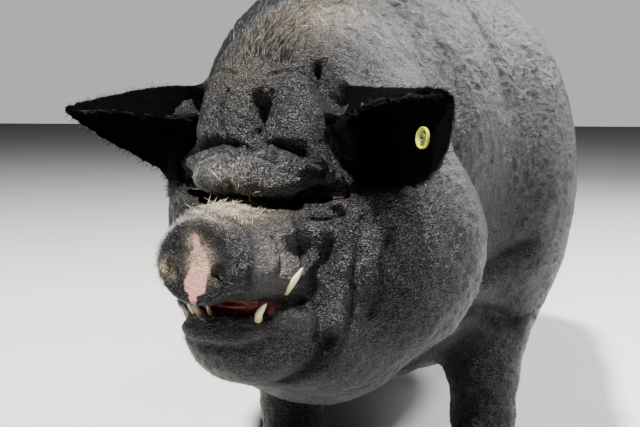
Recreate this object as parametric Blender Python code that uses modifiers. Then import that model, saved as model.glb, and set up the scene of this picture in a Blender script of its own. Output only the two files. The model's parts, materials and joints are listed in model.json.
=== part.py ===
"""A fat black pot-bellied pig, life size, standing with its head turned to its right.

Metres, +Z up. The pig faces -Y and its left side is +X. Masses of flesh are roughed out with
spheres and cones, joined by a voxel Remesh, drawn onto one smooth form, and then parted with
thin cuts into the pieces that a person would name.
"""

import math

import bmesh
import bpy
import numpy as np
from mathutils import Euler, Matrix, Vector

# Driving dimensions
eyeHeight = 0.380
headTurn = -25.0  # degrees about Z, towards the pig's right
headPlace = Vector((-0.070, -0.400, eyeHeight))  # the point between the eyes
clayVoxel = 0.007
clayTriangles = 4200
faceSwell = 0.6  # how much the facets gather at the face: 1 is not at all
seamGap = 0.0006  # each thin cut between two pieces

# ------------------------------------------------------------ the masses of flesh
# name: centre, radii, turn in degrees, blend with what it joins, and whether it is a pair
bodyMasses = {
    "chest": ((0, 0.030, 0.385), (0.212, 0.215, 0.262), (0, 0, 0), 0.08, False),
    "belly": ((0, 0.260, 0.346), (0.246, 0.320, 0.266), (4, 0, 0), 0.12, False),
    "back": ((0, 0.240, 0.470), (0.170, 0.390, 0.185), (0, 0, 0), 0.06, False),
    "loin": ((0, 0.410, 0.420), (0.198, 0.220, 0.234), (0, 0, 0), 0.10, False),
    "rump": ((0, 0.515, 0.435), (0.194, 0.190, 0.222), (-8, 0, 0), 0.10, False),
    "shoulder": ((0.125, 0.000, 0.370), (0.105, 0.130, 0.200), (0, 0, 6), 0.05, True),
    "ham": ((0.112, 0.522, 0.350), (0.114, 0.152, 0.210), (-12, 0, 0), 0.05, True),
    "neck": ((-0.020, -0.170, 0.430), (0.172, 0.190, 0.170), (-10, 0, -10), 0.07, False),
    "crest": ((-0.012, -0.120, 0.500), (0.120, 0.190, 0.120), (12, 0, -8), 0.07, False),
    "brisket": ((-0.010, -0.120, 0.260), (0.130, 0.130, 0.130), (20, 0, 0), 0.06, False),
    "dewlap": ((-0.030, -0.250, 0.240), (0.100, 0.125, 0.085), (20, 0, -15), 0.04, False),
}
# The head's own frame has the same axes, before it turns, and starts between the eyes
headMasses = {
    "skull": ((0, 0.080, 0.030), (0.108, 0.120, 0.120), (0, 0, 0), 0.05, False),
    "poll": ((0, 0.085, 0.085), (0.088, 0.105, 0.085), (-20, 0, 0), 0.05, False),
    "browRidge": ((0.046, 0.020, 0.066), (0.034, 0.042, 0.060), (-12, 8, 0), 0.024, True),
    "temple": ((0.088, 0.070, 0.020), (0.056, 0.075, 0.085), (0, 0, 0), 0.03, True),
    "earCheek": ((0.100, 0.062, -0.010), (0.052, 0.064, 0.078), (0, 0, 0), 0.03, True),
    "browRoll": ((0, -0.018, 0.0185), (0.064, 0.046, 0.0270), (-4, 0, 0), 0.004, False),
    "browSide": ((0.060, -0.002, 0.0255), (0.046, 0.036, 0.0185), (0, 6, 20), 0.010, True),
    "browLow": ((0.036, -0.014, 0.0125), (0.032, 0.038, 0.0180), (0, 0, 8), 0.006, True),
    "bridge": ((0, -0.040, -0.034), (0.053, 0.064, 0.0305), (5, 0, 0), 0.006, False),
    "underEye": ((0.068, -0.006, -0.026), (0.032, 0.026, 0.0200), (0, 10, 20), 0.010, True),
    "bridgeSide": ((0.039, -0.026, -0.0275), (0.032, 0.046, 0.0205), (4, 0, 8), 0.008, True),
    "muzzle": ((0.024, -0.052, -0.058), (0.042, 0.050, 0.041), (0, 0, 6), 0.012, True),
    "lip": ((0.040, -0.026, -0.070), (0.034, 0.044, 0.026), (0, 0, 24), 0.010, True),
    "lipSide": ((0.054, -0.028, -0.106), (0.024, 0.036, 0.015), (0, 0, 0), 0.008, True),
    "cheek": ((0.078, 0.024, -0.054), (0.046, 0.050, 0.060), (0, 0, 0), 0.022, True),
    "jowl": ((0.100, 0.088, -0.062), (0.078, 0.084, 0.104), (0, 10, 0), 0.022, True),
    "lowerLip": ((0, -0.058, -0.124), (0.052, 0.038, 0.017), (8, 0, 0), 0.010, False),
    "chin": ((0, -0.040, -0.140), (0.054, 0.046, 0.036), (0, 0, 0), 0.016, False),
    "jaw": ((0, -0.008, -0.140), (0.066, 0.066, 0.048), (-14, 0, 0), 0.020, False),
    "jawSide": ((0.058, 0.026, -0.126), (0.050, 0.062, 0.060), (-10, 0, 0), 0.030, True),
    "throat": ((0, 0.070, -0.150), (0.105, 0.085, 0.070), (-15, 0, 0), 0.030, False),
}
# Limbs are (point, radius) from the body down, on the left side
limbs = {
    "foreleg": [((0.135, 0.010, 0.270), 0.072), ((0.128, -0.010, 0.165), 0.050),
                ((0.125, -0.022, 0.120), 0.045), ((0.124, -0.018, 0.060), 0.041),
                ((0.124, -0.032, 0.036), 0.036)],
    "hindleg": [((0.130, 0.450, 0.290), 0.094), ((0.132, 0.562, 0.190), 0.057),
                ((0.128, 0.556, 0.110), 0.043), ((0.126, 0.542, 0.060), 0.041),
                ((0.126, 0.526, 0.036), 0.037)],
}
limbBlend = 0.035
tailStations = [((0, 0.672, 0.510), 0.021), ((0.004, 0.722, 0.482), 0.015),
                ((0.010, 0.742, 0.420), 0.011), ((0.014, 0.740, 0.350), 0.009),
                ((0.016, 0.734, 0.290), 0.007)]
tailBlend = 0.014

# Ears: a hood that stands out sideways and forwards, its hollow facing forwards and down
earRoot = {1: Vector((0.080, 0.020, 0.068)), -1: Vector((-0.080, 0.020, 0.068))}
earTip = {1: Vector((0.230, -0.056, 0.092)), -1: Vector((-0.217, -0.060, 0.074))}
earRollDegrees = {1: -6, -1: 0}
# share of its length: lower margin, crest, rim, and how far the rim stands forwards
earProfile = {
    -1: [(-0.15, -0.040, 0.024, -0.004, 0.022), (0.0, -0.050, 0.026, -0.006, 0.026),
         (0.12, -0.057, 0.027, -0.005, 0.028), (0.25, -0.062, 0.027, -0.003, 0.028),
         (0.38, -0.056, 0.025, -0.001, 0.026), (0.52, -0.046, 0.021, 0.000, 0.022),
         (0.70, -0.032, 0.015, 0.001, 0.016), (0.85, -0.018, 0.009, 0.001, 0.009),
         (0.95, -0.007, 0.004, 0.000, 0.004), (1.0, -0.002, 0.001, 0.000, 0.001)],
    1: [(-0.15, -0.040, 0.022, -0.008, 0.022), (0.0, -0.048, 0.024, -0.010, 0.026),
        (0.12, -0.054, 0.023, -0.009, 0.028), (0.25, -0.060, 0.021, -0.006, 0.028),
        (0.38, -0.064, 0.017, -0.002, 0.026), (0.52, -0.066, 0.014, 0.002, 0.021),
        (0.70, -0.062, 0.010, 0.004, 0.013), (0.85, -0.051, 0.007, 0.005, 0.007),
        (0.95, -0.038, 0.004, 0.002, 0.003), (1.0, -0.024, -0.002, -0.004, 0.001)],
}
earThick, earThin = 0.012, 0.007
earBlend = 0.018
snoutPlace, snoutRadii = Vector((0, -0.0975, -0.0575)), Vector((0.0475, 0, 0.0400))
snoutHalf, snoutRound, snoutTilt = 0.0125, 0.0070, -6.0  # half its depth, its rim, and degrees
snoutBlend = 0.005


def headMatrix():
    return Matrix.Translation(headPlace) @ Matrix.Rotation(math.radians(headTurn), 4, "Z")


def mirrored(point):
    return Vector((-point[0], point[1], point[2]))


def allMasses():
    """Every ellipsoid as (name, matrix, radii, blend), in the pig's frame."""
    found = []
    for frame, masses in ((Matrix.Identity(4), bodyMasses), (headMatrix(), headMasses)):
        for name, (centre, radii, turn, blend, pair) in masses.items():
            for side in (1, -1) if pair else (1,):
                angles = [math.radians(turn[0])] + [math.radians(t) * side for t in turn[1:]]
                place = Matrix.Translation((centre[0] * side, centre[1], centre[2]))
                matrix = frame @ place @ Euler(angles).to_matrix().to_4x4()
                found.append((name + ("Right" if side < 0 else ""), matrix, radii, blend))
    return found


def allLimbs():
    """Every limb as (name, stations, blend)."""
    found = [("tail", tailStations, tailBlend)]
    for name, stations in limbs.items():
        found.append((name + "Left", stations, limbBlend))
        found.append((name + "Right", [(mirrored(p), r) for p, r in stations], limbBlend))
    return found


def earFrame(side):
    """The ear's matrix: X from root to tip, Z up across it, and -Y towards its hollow."""
    root, tip = earRoot[side], earTip[side]
    along = (tip - root).normalized()
    back = Vector((0, 0, 1)).cross(along).normalized() * side
    up = along.cross(back).normalized() * side
    turn = Matrix((along, back, up)).transposed().to_4x4()
    roll = Matrix.Rotation(math.radians(earRollDegrees[side]), 4, "X")
    return headMatrix() @ Matrix.Translation(root) @ turn @ roll


def earSection(u, side):
    """The ear's cross-section at u: six points (back, up) from its lower margin to its rim."""
    table = np.array(earProfile[side])
    low, crest, rim, forward = (np.interp(u, table[:, 0], table[:, k]) for k in range(1, 5))
    bow = 0.010 * np.clip(1 - u, 0, 1) ** 0.5
    return [(forward, low), (0.8 * bow + 0.45 * forward, 0.55 * low),
            (bow + 0.05 * forward, 0.1 * low + 0.2 * crest),
            (0.3 * bow, 0.85 * crest), (-0.45 * forward, crest), (-forward, rim)]


def snoutMatrix():
    """The snout plate's middle: Y through the plate, and Z up it."""
    return headMatrix() @ Matrix.Translation(snoutPlace) @ Matrix.Rotation(math.radians(snoutTilt), 4, "X")


# ------------------------------------------------------------ the smooth form
def ellipsoidField(points, matrix, radii):
    """About the distance from each point to the ellipsoid, negative inside."""
    turn = np.array(matrix.to_3x3())
    radii = np.array(radii)
    local = (points - np.array(matrix.translation)) @ turn
    near = np.linalg.norm(local / radii, axis=1) + 1e-9
    slope = np.linalg.norm(local / radii**2, axis=1) + 1e-9
    return near * (near - 1) / slope


def limbField(points, stations):
    found = np.full(len(points), 1.0)
    for (start, startRadius), (end, endRadius) in zip(stations, stations[1:]):
        start, along = np.array(start), np.array(end) - np.array(start)
        share = np.clip((points - start) @ along / (along @ along), 0, 1)
        away = np.linalg.norm(points - start - share[:, None] * along, axis=1)
        found = smoothUnion(found, away - startRadius - share * (endRadius - startRadius), 0.01)
    return found


def earField(points, side):
    frame = np.array(earFrame(side).inverted())
    local = points @ frame[:3, :3].T + frame[:3, 3]
    length = (earTip[side] - earRoot[side]).length
    u = np.clip(local[:, 0] / length, -0.15, 1)
    section = earSection(u, side)
    beyond = local[:, 0] - u * length
    found = np.full(len(points), 1.0)
    for (y0, z0), (y1, z1) in zip(section, section[1:]):
        dy, dz = y1 - y0, z1 - z0
        share = (local[:, 1] - y0) * dy + (local[:, 2] - z0) * dz
        share = np.clip(share / np.maximum(dy**2 + dz**2, 1e-12), 0, 1)
        away = np.sqrt((local[:, 1] - y0 - share * dy) ** 2 + (local[:, 2] - z0 - share * dz) ** 2
                       + beyond**2)
        found = np.minimum(found, away)
    return found - (earThick + (earThin - earThick) * np.clip(u, 0, 1)) / 2


def snoutField(points):
    """The nose's flat plate: an upright oval with a rounded rim."""
    matrix = snoutMatrix()
    local = (points - np.array(matrix.translation)) @ np.array(matrix.to_3x3())
    radii = np.array((snoutRadii.x, snoutRadii.z)) - snoutRound
    flat = local[:, [0, 2]]
    near = np.linalg.norm(flat / radii, axis=1) + 1e-9
    slope = np.linalg.norm(flat / radii**2, axis=1) + 1e-9
    side = near * (near - 1) / slope
    front = np.abs(local[:, 1]) - (snoutHalf - snoutRound)
    outside = np.hypot(np.clip(side, 0, None), np.clip(front, 0, None))
    return outside + np.minimum(np.maximum(side, front), 0) - snoutRound


def smoothUnion(a, b, blend):
    overlap = np.clip(blend - np.abs(a - b), 0, None) / blend
    return np.minimum(a, b) - overlap**2 * blend / 4


def fleshField(points):
    """The whole pig as one smooth form: about the distance to its surface, negative inside."""
    field = np.full(len(points), 0.2)
    for _, matrix, radii, blend in fleshMasses:
        reach = max(radii) + blend + 0.04
        near = np.linalg.norm(points - np.array(matrix.translation), axis=1) < reach
        field[near] = smoothUnion(field[near], ellipsoidField(points[near], matrix, radii), blend)
    for _, stations, blend in fleshLimbs:
        low = np.min([p for p, _ in stations], axis=0) - 0.13
        high = np.max([p for p, _ in stations], axis=0) + 0.13
        near = np.all((points > low) & (points < high), axis=1)
        field[near] = smoothUnion(field[near], limbField(points[near], stations), blend)
    for side in (1, -1):
        middle = np.array(headMatrix() @ ((earRoot[side] + earTip[side]) / 2))
        near = np.linalg.norm(points - middle, axis=1) < 0.17
        field[near] = smoothUnion(field[near], earField(points[near], side), earBlend)
    near = np.linalg.norm(points - np.array(snoutMatrix().translation), axis=1) < 0.10
    field[near] = smoothUnion(field[near], snoutField(points[near]), snoutBlend)
    return field


def drawOntoForm(points, rounds=4, longest=0.012):
    """Moves points onto the smooth form, by short steps down its slope."""
    probe = 0.0004
    for _ in range(rounds):
        here = fleshField(points)
        slope = np.empty_like(points)
        for axis in range(3):
            step = np.zeros(3)
            step[axis] = probe
            slope[:, axis] = (fleshField(points + step) - fleshField(points - step)) / (2 * probe)
        steep = np.maximum((slope**2).sum(axis=1), 0.25)
        move = -here[:, None] * slope / steep[:, None]
        size = np.linalg.norm(move, axis=1)
        move *= np.minimum(1, longest / np.maximum(size, 1e-9))[:, None]
        points = points + move
    return points


fleshMasses = allMasses()
fleshLimbs = allLimbs()


# ------------------------------------------------------------ scene, materials and Booleans
def clearScene():
    for obj in list(bpy.data.objects):
        bpy.data.objects.remove(obj)


def makeCollection(name):
    collection = bpy.data.collections.new(name)
    bpy.context.scene.collection.children.link(collection)
    return collection


def makeMaterial(name, colour, roughness):
    material = bpy.data.materials.new(name)
    material.use_nodes = True
    shader = material.node_tree.nodes["Principled BSDF"]
    shader.inputs["Base Color"].default_value = (*colour, 1)
    shader.inputs["Roughness"].default_value = roughness
    material.diffuse_color = (*colour, 1)
    return material


def makeObject(name, mesh, material, collection=None):
    obj = bpy.data.objects.new(name, mesh)
    (collection or pigPieces).objects.link(obj)
    mesh.materials.clear()
    mesh.materials.append(material)
    return obj


def meshFrom(bm, name):
    bmesh.ops.recalc_face_normals(bm, faces=bm.faces)
    mesh = bpy.data.meshes.new(name)
    bm.to_mesh(mesh)
    bm.free()
    return mesh


def makeCutter(bm, name):
    obj = makeObject(name, meshFrom(bm, name), finishes["guide"], pigCutters)
    obj.hide_render = True
    obj.display_type = "WIRE"
    return obj


def applyModifiers(obj):
    graph = bpy.context.evaluated_depsgraph_get()
    old = obj.data
    obj.data = bpy.data.meshes.new_from_object(obj.evaluated_get(graph))
    obj.modifiers.clear()
    bpy.data.meshes.remove(old)


def dropCrumbs(obj):
    """Keeps only the largest of the loose bodies that a cut leaves."""
    bm = bmesh.new()
    bm.from_mesh(obj.data)
    unseen = set(bm.verts)
    islands = []
    while unseen:
        edge = [unseen.pop()]
        island = set(edge)
        while edge:
            vert = edge.pop()
            for link in vert.link_edges:
                other = link.other_vert(vert)
                if other in unseen:
                    unseen.remove(other)
                    island.add(other)
                    edge.append(other)
        islands.append(island)
    islands.sort(key=len)
    for island in islands[:-1]:
        bmesh.ops.delete(bm, geom=list(island), context="VERTS")
    bm.to_mesh(obj.data)
    bm.free()


def boolean(obj, cutter, operation):
    modifier = obj.modifiers.new(operation.lower(), "BOOLEAN")
    modifier.operation = operation
    modifier.solver = "EXACT"
    modifier.object = cutter
    applyModifiers(obj)


def splitOff(body, name, region, material):
    """Parts the piece inside region(grow) from the body, with a thin gap between them."""
    piece = makeObject(name, body.data.copy(), material)
    inner = makeCutter(region(0), name + "Region")
    outer = makeCutter(region(seamGap), name + "Gap")
    boolean(piece, inner, "INTERSECT")
    boolean(body, outer, "DIFFERENCE")
    dropCrumbs(piece)
    dropCrumbs(body)
    return piece


# ------------------------------------------------------------ regions that part the body
def boxRegion(matrix, low, high):
    def region(grow):
        bm = bmesh.new()
        size = [h - l + 2 * grow for l, h in zip(low, high)]
        centre = Vector([(l + h) / 2 for l, h in zip(low, high)])
        place = matrix @ Matrix.Translation(centre) @ Matrix.Diagonal((*size, 1))
        bmesh.ops.create_cube(bm, size=1, matrix=place)
        return bm
    return region


def columnRegion(centre, radius, low, high):
    """An upright post with a rounded top, for a leg and the flesh above it."""
    def region(grow):
        bm = bmesh.new()
        stations = [(low, 1.0), (high - 0.055, 1.0), (high - 0.018, 0.86), (high, 0.55)]
        rings = []
        for height, share in stations:
            ring = bmesh.ops.create_circle(bm, cap_ends=False, segments=20, radius=radius * share + grow)
            extra = grow if height == high else 0
            bmesh.ops.translate(bm, verts=ring["verts"], vec=(centre[0], centre[1], height + extra))
            rings.append(ring["verts"])
        for lower, upper in zip(rings, rings[1:]):
            bmesh.ops.bridge_loops(bm, edges=ringEdges(lower) + ringEdges(upper))
        bm.faces.new(rings[0])
        bm.faces.new(rings[-1])
        return bm
    return region


def ringEdges(verts):
    inRing = set(verts)
    return [e for e in {e for v in verts for e in v.link_edges} if set(e.verts) <= inRing]


# ------------------------------------------------------------ the body of flesh
def roughFlesh():
    """Spheres, cones and ear sheets, roughly where the smooth form will be."""
    bm = bmesh.new()
    for _, matrix, radii, _ in fleshMasses:
        bmesh.ops.create_uvsphere(bm, u_segments=24, v_segments=16, radius=1,
                                  matrix=matrix @ Matrix.Diagonal((*radii, 1)))
    plate = Matrix.Diagonal((snoutRadii.x, snoutHalf, snoutRadii.z, 1))
    bmesh.ops.create_uvsphere(bm, u_segments=24, v_segments=16, radius=1, matrix=snoutMatrix() @ plate)
    for _, stations, _ in fleshLimbs:
        for (start, startRadius), (end, endRadius) in zip(stations, stations[1:]):
            start, end = Vector(start), Vector(end)
            turn = (end - start).to_track_quat("Z", "Y").to_matrix().to_4x4()
            bmesh.ops.create_cone(bm, cap_ends=True, segments=20, radius1=startRadius, radius2=endRadius,
                                  depth=(end - start).length,
                                  matrix=Matrix.Translation((start + end) / 2) @ turn)
            for point, radius in ((start, startRadius), (end, endRadius)):
                bmesh.ops.create_uvsphere(bm, u_segments=20, v_segments=12, radius=radius,
                                          matrix=Matrix.Translation(point))
    for side in (1, -1):
        bm.from_mesh(earSheet(side))
    return meshFrom(bm, "rough")


def earSheet(side, steps=24):
    bm = bmesh.new()
    frame = earFrame(side)
    length = (earTip[side] - earRoot[side]).length
    rows = []
    for k in range(steps + 1):
        u = earProfile[side][0][0] + k / steps * (1 - earProfile[side][0][0])
        section = earSection(u, side)
        rows.append([bm.verts.new(frame @ Vector((u * length, y, z))) for y, z in section])
    for row, after in zip(rows, rows[1:]):
        for k in range(len(row) - 1):
            bm.faces.new((row[k], row[k + 1], after[k + 1], after[k]))
    sheet = makeCutter(bm, "earSheet")
    solidify = sheet.modifiers.new("thickness", "SOLIDIFY")
    solidify.thickness = earThick
    solidify.offset = 0
    applyModifiers(sheet)
    return sheet.data


def relax(points, edges, rounds):
    for _ in range(rounds):
        total = np.zeros_like(points)
        count = np.zeros(len(points))
        for near, far in ((0, 1), (1, 0)):
            np.add.at(total, edges[:, near], points[edges[:, far]])
            np.add.at(count, edges[:, near], 1)
        points = points + 0.5 * (total / count[:, None] - points)
    return points


def swell(points, power):
    """Draws the far parts in and spreads the face out, so that the face keeps more facets."""
    away = points - np.array(headPlace)
    reach = np.linalg.norm(away, axis=1)[:, None]
    return np.array(headPlace) + away * reach ** (power - 1)


def makeFlesh():
    """The whole animal without hooves, eyes and teeth, as one closed mesh."""
    body = makeObject("trunk", roughFlesh(), finishes["hide"])
    remesh = body.modifiers.new("join", "REMESH")
    remesh.mode = "VOXEL"
    remesh.voxel_size = clayVoxel
    applyModifiers(body)
    mesh = body.data
    points = np.empty(len(mesh.vertices) * 3)
    mesh.vertices.foreach_get("co", points)
    edges = np.empty(len(mesh.edges) * 2, int)
    mesh.edges.foreach_get("vertices", edges)
    edges = edges.reshape(-1, 2)
    points = drawOntoForm(points.reshape(-1, 3))
    points = drawOntoForm(relax(points, edges, 2), rounds=2)
    mesh.vertices.foreach_set("co", swell(points, faceSwell).ravel())
    mesh.update()
    thin = body.modifiers.new("facets", "DECIMATE")
    thin.ratio = clayTriangles / (2 * len(mesh.vertices))
    applyModifiers(body)
    mesh = body.data
    points = np.empty(len(mesh.vertices) * 3)
    mesh.vertices.foreach_get("co", points)
    mesh.vertices.foreach_set("co", swell(points.reshape(-1, 3), 1 / faceSwell).ravel())
    mesh.update()
    dropCrumbs(body)
    return body


# ------------------------------------------------------------ mouth, nostrils, eyes and teeth
mouthCentre, mouthRadii = Vector((0, -0.040, -0.1020)), (0.051, 0.062, 0.0072)
tongueCentre, tongueRadii = Vector((0, -0.030, -0.1030)), (0.024, 0.036, 0.0038)
nostrilPlace, nostrilRadius = Vector((0.0265, -0.111, -0.0665)), 0.0055
eyePlace, eyeRadius, socketRadius = Vector((0.083, 0.000, -0.001)), 0.012, 0.0135
slitPlace, slitRadii = Vector((0.086, -0.022, 0.000)), (0.020, 0.026, 0.0042)
# name: points and radii in the head's frame, from the root to the tip
teeth = {
    "tusk_upper": [((0.057, -0.048, -0.086), 0.0038), ((0.0665, -0.053, -0.0775), 0.0038),
                   ((0.0725, -0.053, -0.0705), 0.0030), ((0.077, -0.050, -0.062), 0.0011)],
    "tusk_lower": [((0.034, -0.060, -0.119), 0.0045), ((0.0395, -0.066, -0.107), 0.0042),
                   ((0.044, -0.0665, -0.100), 0.0032), ((0.0485, -0.066, -0.0945), 0.0012)],
}
incisors = {
    "incisor_left": [((-0.009, -0.070, -0.116), 0.0030), ((-0.009, -0.077, -0.106), 0.0026),
                     ((-0.0085, -0.081, -0.0985), 0.0014)],
    "incisor_right": [((-0.020, -0.068, -0.118), 0.0045), ((-0.022, -0.076, -0.108), 0.0042),
                      ((-0.024, -0.081, -0.0995), 0.0030)],
}


def headBall(centre, radii, segments=24):
    bm = bmesh.new()
    place = headMatrix() @ Matrix.Translation(centre) @ Matrix.Diagonal((*radii, 1))
    bmesh.ops.create_uvsphere(bm, u_segments=segments, v_segments=segments // 2, radius=1, matrix=place)
    return bm


def taper(points, matrix, grow=0.0, segments=8):
    """A bent cone through (point, radius) stations, closed at both ends."""
    bm = bmesh.new()
    centres = [matrix @ Vector(point) for point, _ in points]
    rings = []
    for k, (_, radius) in enumerate(points):
        ahead = centres[min(k + 1, len(centres) - 1)] - centres[max(k - 1, 0)]
        turn = ahead.to_track_quat("Z", "X").to_matrix().to_4x4()
        ring = bmesh.ops.create_circle(bm, cap_ends=False, segments=segments, radius=radius + grow,
                                       matrix=Matrix.Translation(centres[k]) @ turn)
        rings.append(ring["verts"])
    for lower, upper in zip(rings, rings[1:]):
        bmesh.ops.bridge_loops(bm, edges=ringEdges(lower) + ringEdges(upper))
    bm.faces.new(rings[0])
    bm.faces.new(rings[-1])
    return bm


def seatTaper(name, points, matrix, material, hosts):
    """A tooth or claw, with a socket a little larger than itself cut in each host."""
    piece = makeObject(name, meshFrom(taper(points, matrix), name), material)
    socket = makeCutter(taper(points, matrix, grow=seamGap), name + "Socket")
    for host in hosts:
        boolean(host, socket, "DIFFERENCE")
        dropCrumbs(host)
    piece.data.shade_smooth()
    return piece


def cutFace(head):
    """Opens the mouth, the nostrils and the eye sockets."""
    boolean(head, makeCutter(headBall(mouthCentre, mouthRadii), "mouth"), "DIFFERENCE")
    for side in (1, -1):
        place = Vector((eyePlace.x * side, eyePlace.y, eyePlace.z))
        socket = makeCutter(headBall(place, (socketRadius,) * 3, 16), "eyeSocket")
        slit = makeCutter(headBall(Vector((slitPlace.x * side, slitPlace.y, slitPlace.z)), slitRadii), "slit")
        boolean(socket, slit, "UNION")
        boolean(head, socket, "DIFFERENCE")
        place = Vector((nostrilPlace.x * side, nostrilPlace.y, nostrilPlace.z))
        radii = (nostrilRadius, 0.014, nostrilRadius * 1.25)
        boolean(head, makeCutter(headBall(place, radii, 12), "nostril"), "DIFFERENCE")


def makeEyes():
    for side, name in ((1, "eye_left"), (-1, "eye_right")):
        place = Vector((eyePlace.x * side, eyePlace.y, eyePlace.z))
        eye = makeObject(name, meshFrom(headBall(place, (eyeRadius,) * 3, 16), name), finishes["eye"])
        eye.data.shade_smooth()


def makeTongue():
    tongue = meshFrom(headBall(tongueCentre, tongueRadii, 16), "tongue")
    makeObject("tongue", tongue, finishes["tongue"]).data.shade_smooth()


def makeTeeth(hosts):
    for name, points in teeth.items():
        for side, word in ((1, "left"), (-1, "right")):
            sided = [((p[0] * side, p[1], p[2]), r) for p, r in points]
            seatTaper(f"{name}_{word}", sided, headMatrix(), finishes["tusk"], hosts)
    for name, points in incisors.items():
        seatTaper(name, points, headMatrix(), finishes["tooth"], hosts)


# ------------------------------------------------------------ feet
hoofTilt = math.radians(12)  # the coronet is higher at the front
hoofHeight = 0.030  # at the middle of the foot
clawLength, clawWidth = 0.060, 0.035
clawStep = 0.0176  # from the foot's middle to each claw's
feet = {"fore_left": (0.124, -0.032), "fore_right": (-0.124, -0.032),
        "hind_left": (0.126, 0.526), "hind_right": (-0.126, 0.526)}


def coronetHeight(y, footY, gap=0.0):
    """The height of the tilted plane where the horn of the hoof meets the skin."""
    return hoofHeight - math.tan(hoofTilt) * (y - footY) + gap


def clawMesh(x, y, inner):
    """One claw: round behind, pointed in front, flat beneath and flatter on its inner side."""
    bm = bmesh.new()
    bmesh.ops.create_cone(bm, cap_ends=True, segments=14, radius1=0.5, radius2=0.5, depth=1)
    for vert in bm.verts:
        top = vert.co.z > 0
        length = clawLength * (0.80 if top else 1.0)
        width = clawWidth * (0.94 if top else 1.0)
        toward = max(0.0, -2 * vert.co.y)
        narrow = 1 - 0.38 * toward**2
        flat = 0.72 if vert.co.x * inner > 0 else 1.0
        vert.co.x = x + vert.co.x * width * narrow * flat - inner * 0.06 * width
        vert.co.y = y + vert.co.y * length - (0.010 if not top else 0.0)
        vert.co.z = coronetHeight(vert.co.y, y, -seamGap) if top else 0.0
    sole = [e for e in bm.edges if all(v.co.z < 1e-6 for v in e.verts)]
    bmesh.ops.bevel(bm, geom=sole, offset=0.0015, segments=1, affect="EDGES")
    return meshFrom(bm, "claw")


def makeFoot(leg, name):
    """Cuts the leg at the coronet and stands it on two claws, with two dewclaws behind."""
    x, y = feet[name]
    plane = Matrix.Translation((x, y, hoofHeight)) @ Matrix.Rotation(-hoofTilt, 4, "X")
    below = boxRegion(plane, (-0.08, -0.1, -0.1), (0.08, 0.1, 0.0))
    boolean(leg, makeCutter(below(0), name + "Coronet"), "DIFFERENCE")
    dropCrumbs(leg)
    for sign, word in ((1, "outer"), (-1, "inner")):
        out = sign if x > 0 else -sign
        claw = clawMesh(x + out * clawStep, y, -out)
        makeObject(f"hoof_{name}_{word}", claw, finishes["horn"]).data.shade_flat()
        points = [((x + out * 0.016, y + 0.016, 0.058), 0.0085),
                  ((x + out * 0.019, y + 0.033, 0.050), 0.0095),
                  ((x + out * 0.021, y + 0.044, 0.036), 0.0045)]
        seatTaper(f"dewclaw_{name}_{word}", points, Matrix.Identity(4), finishes["horn"], [leg])


# ------------------------------------------------------------ the tag in the left ear
tagShare = 0.72  # of the ear's length
tagHeight = -0.030  # from the ear's axis
tagRadius, tagThick = 0.0092, 0.0032
tagStem = 0.0026


def tagMatrix():
    """The tag's middle on the ear's sheet, with Z through the ear towards its hollow."""
    length = (earTip[1] - earRoot[1]).length
    section = earSection(tagShare, 1)
    ys, zs = [p[0] for p in section], [p[1] for p in section]
    back = np.interp(tagHeight, zs[:4], ys[:4])
    middle = earFrame(1) @ Vector((tagShare * length, back, tagHeight))
    toHollow = (earFrame(1).to_3x3() @ Vector((0, -1, 0))).normalized()
    return Matrix.Translation(middle) @ toHollow.to_track_quat("Z", "X").to_matrix().to_4x4()


def disc(bm, radius, low, high, segments=16):
    place = tagMatrix() @ Matrix.Translation((0, 0, (low + high) / 2))
    bmesh.ops.create_cone(bm, cap_ends=True, segments=segments, radius1=radius, radius2=radius,
                          depth=high - low, matrix=place)


def makeTag(ear):
    """A round button on each side of the ear, joined by a stem through it."""
    half = earThick / 2 + 0.0008
    hole = bmesh.new()
    disc(hole, tagStem + 0.0008, -0.012, 0.012, 12)
    boolean(ear, makeCutter(hole, "tagHole"), "DIFFERENCE")
    dropCrumbs(ear)
    stem = bmesh.new()
    disc(stem, tagStem, -half - tagThick / 2, half + tagThick / 2, 12)
    tag = makeObject("ear_tag", meshFrom(stem, "tag"), finishes["tag"])
    for low, high, radius in ((half, half + tagThick, tagRadius), (-half - tagThick, -half, tagRadius),
                              (half + tagThick / 2, half + tagThick + 0.002, tagRadius * 0.45)):
        button = bmesh.new()
        disc(button, radius, low, high)
        boolean(tag, makeCutter(button, "tagButton"), "UNION")
    return tag


# ------------------------------------------------------------ the whole pig
earCut = 0.048  # beyond the ear's root
noseCut, noseLow = -0.0955, -0.1000
jawCut, jawBack = -0.1010, 0.032
headBack = 0.135
neckBack = -0.135
tailCut = 0.714
bodyPlace = Vector((0.022, -0.100, 0.0))  # brings the origin to the middle of the footprint


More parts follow.
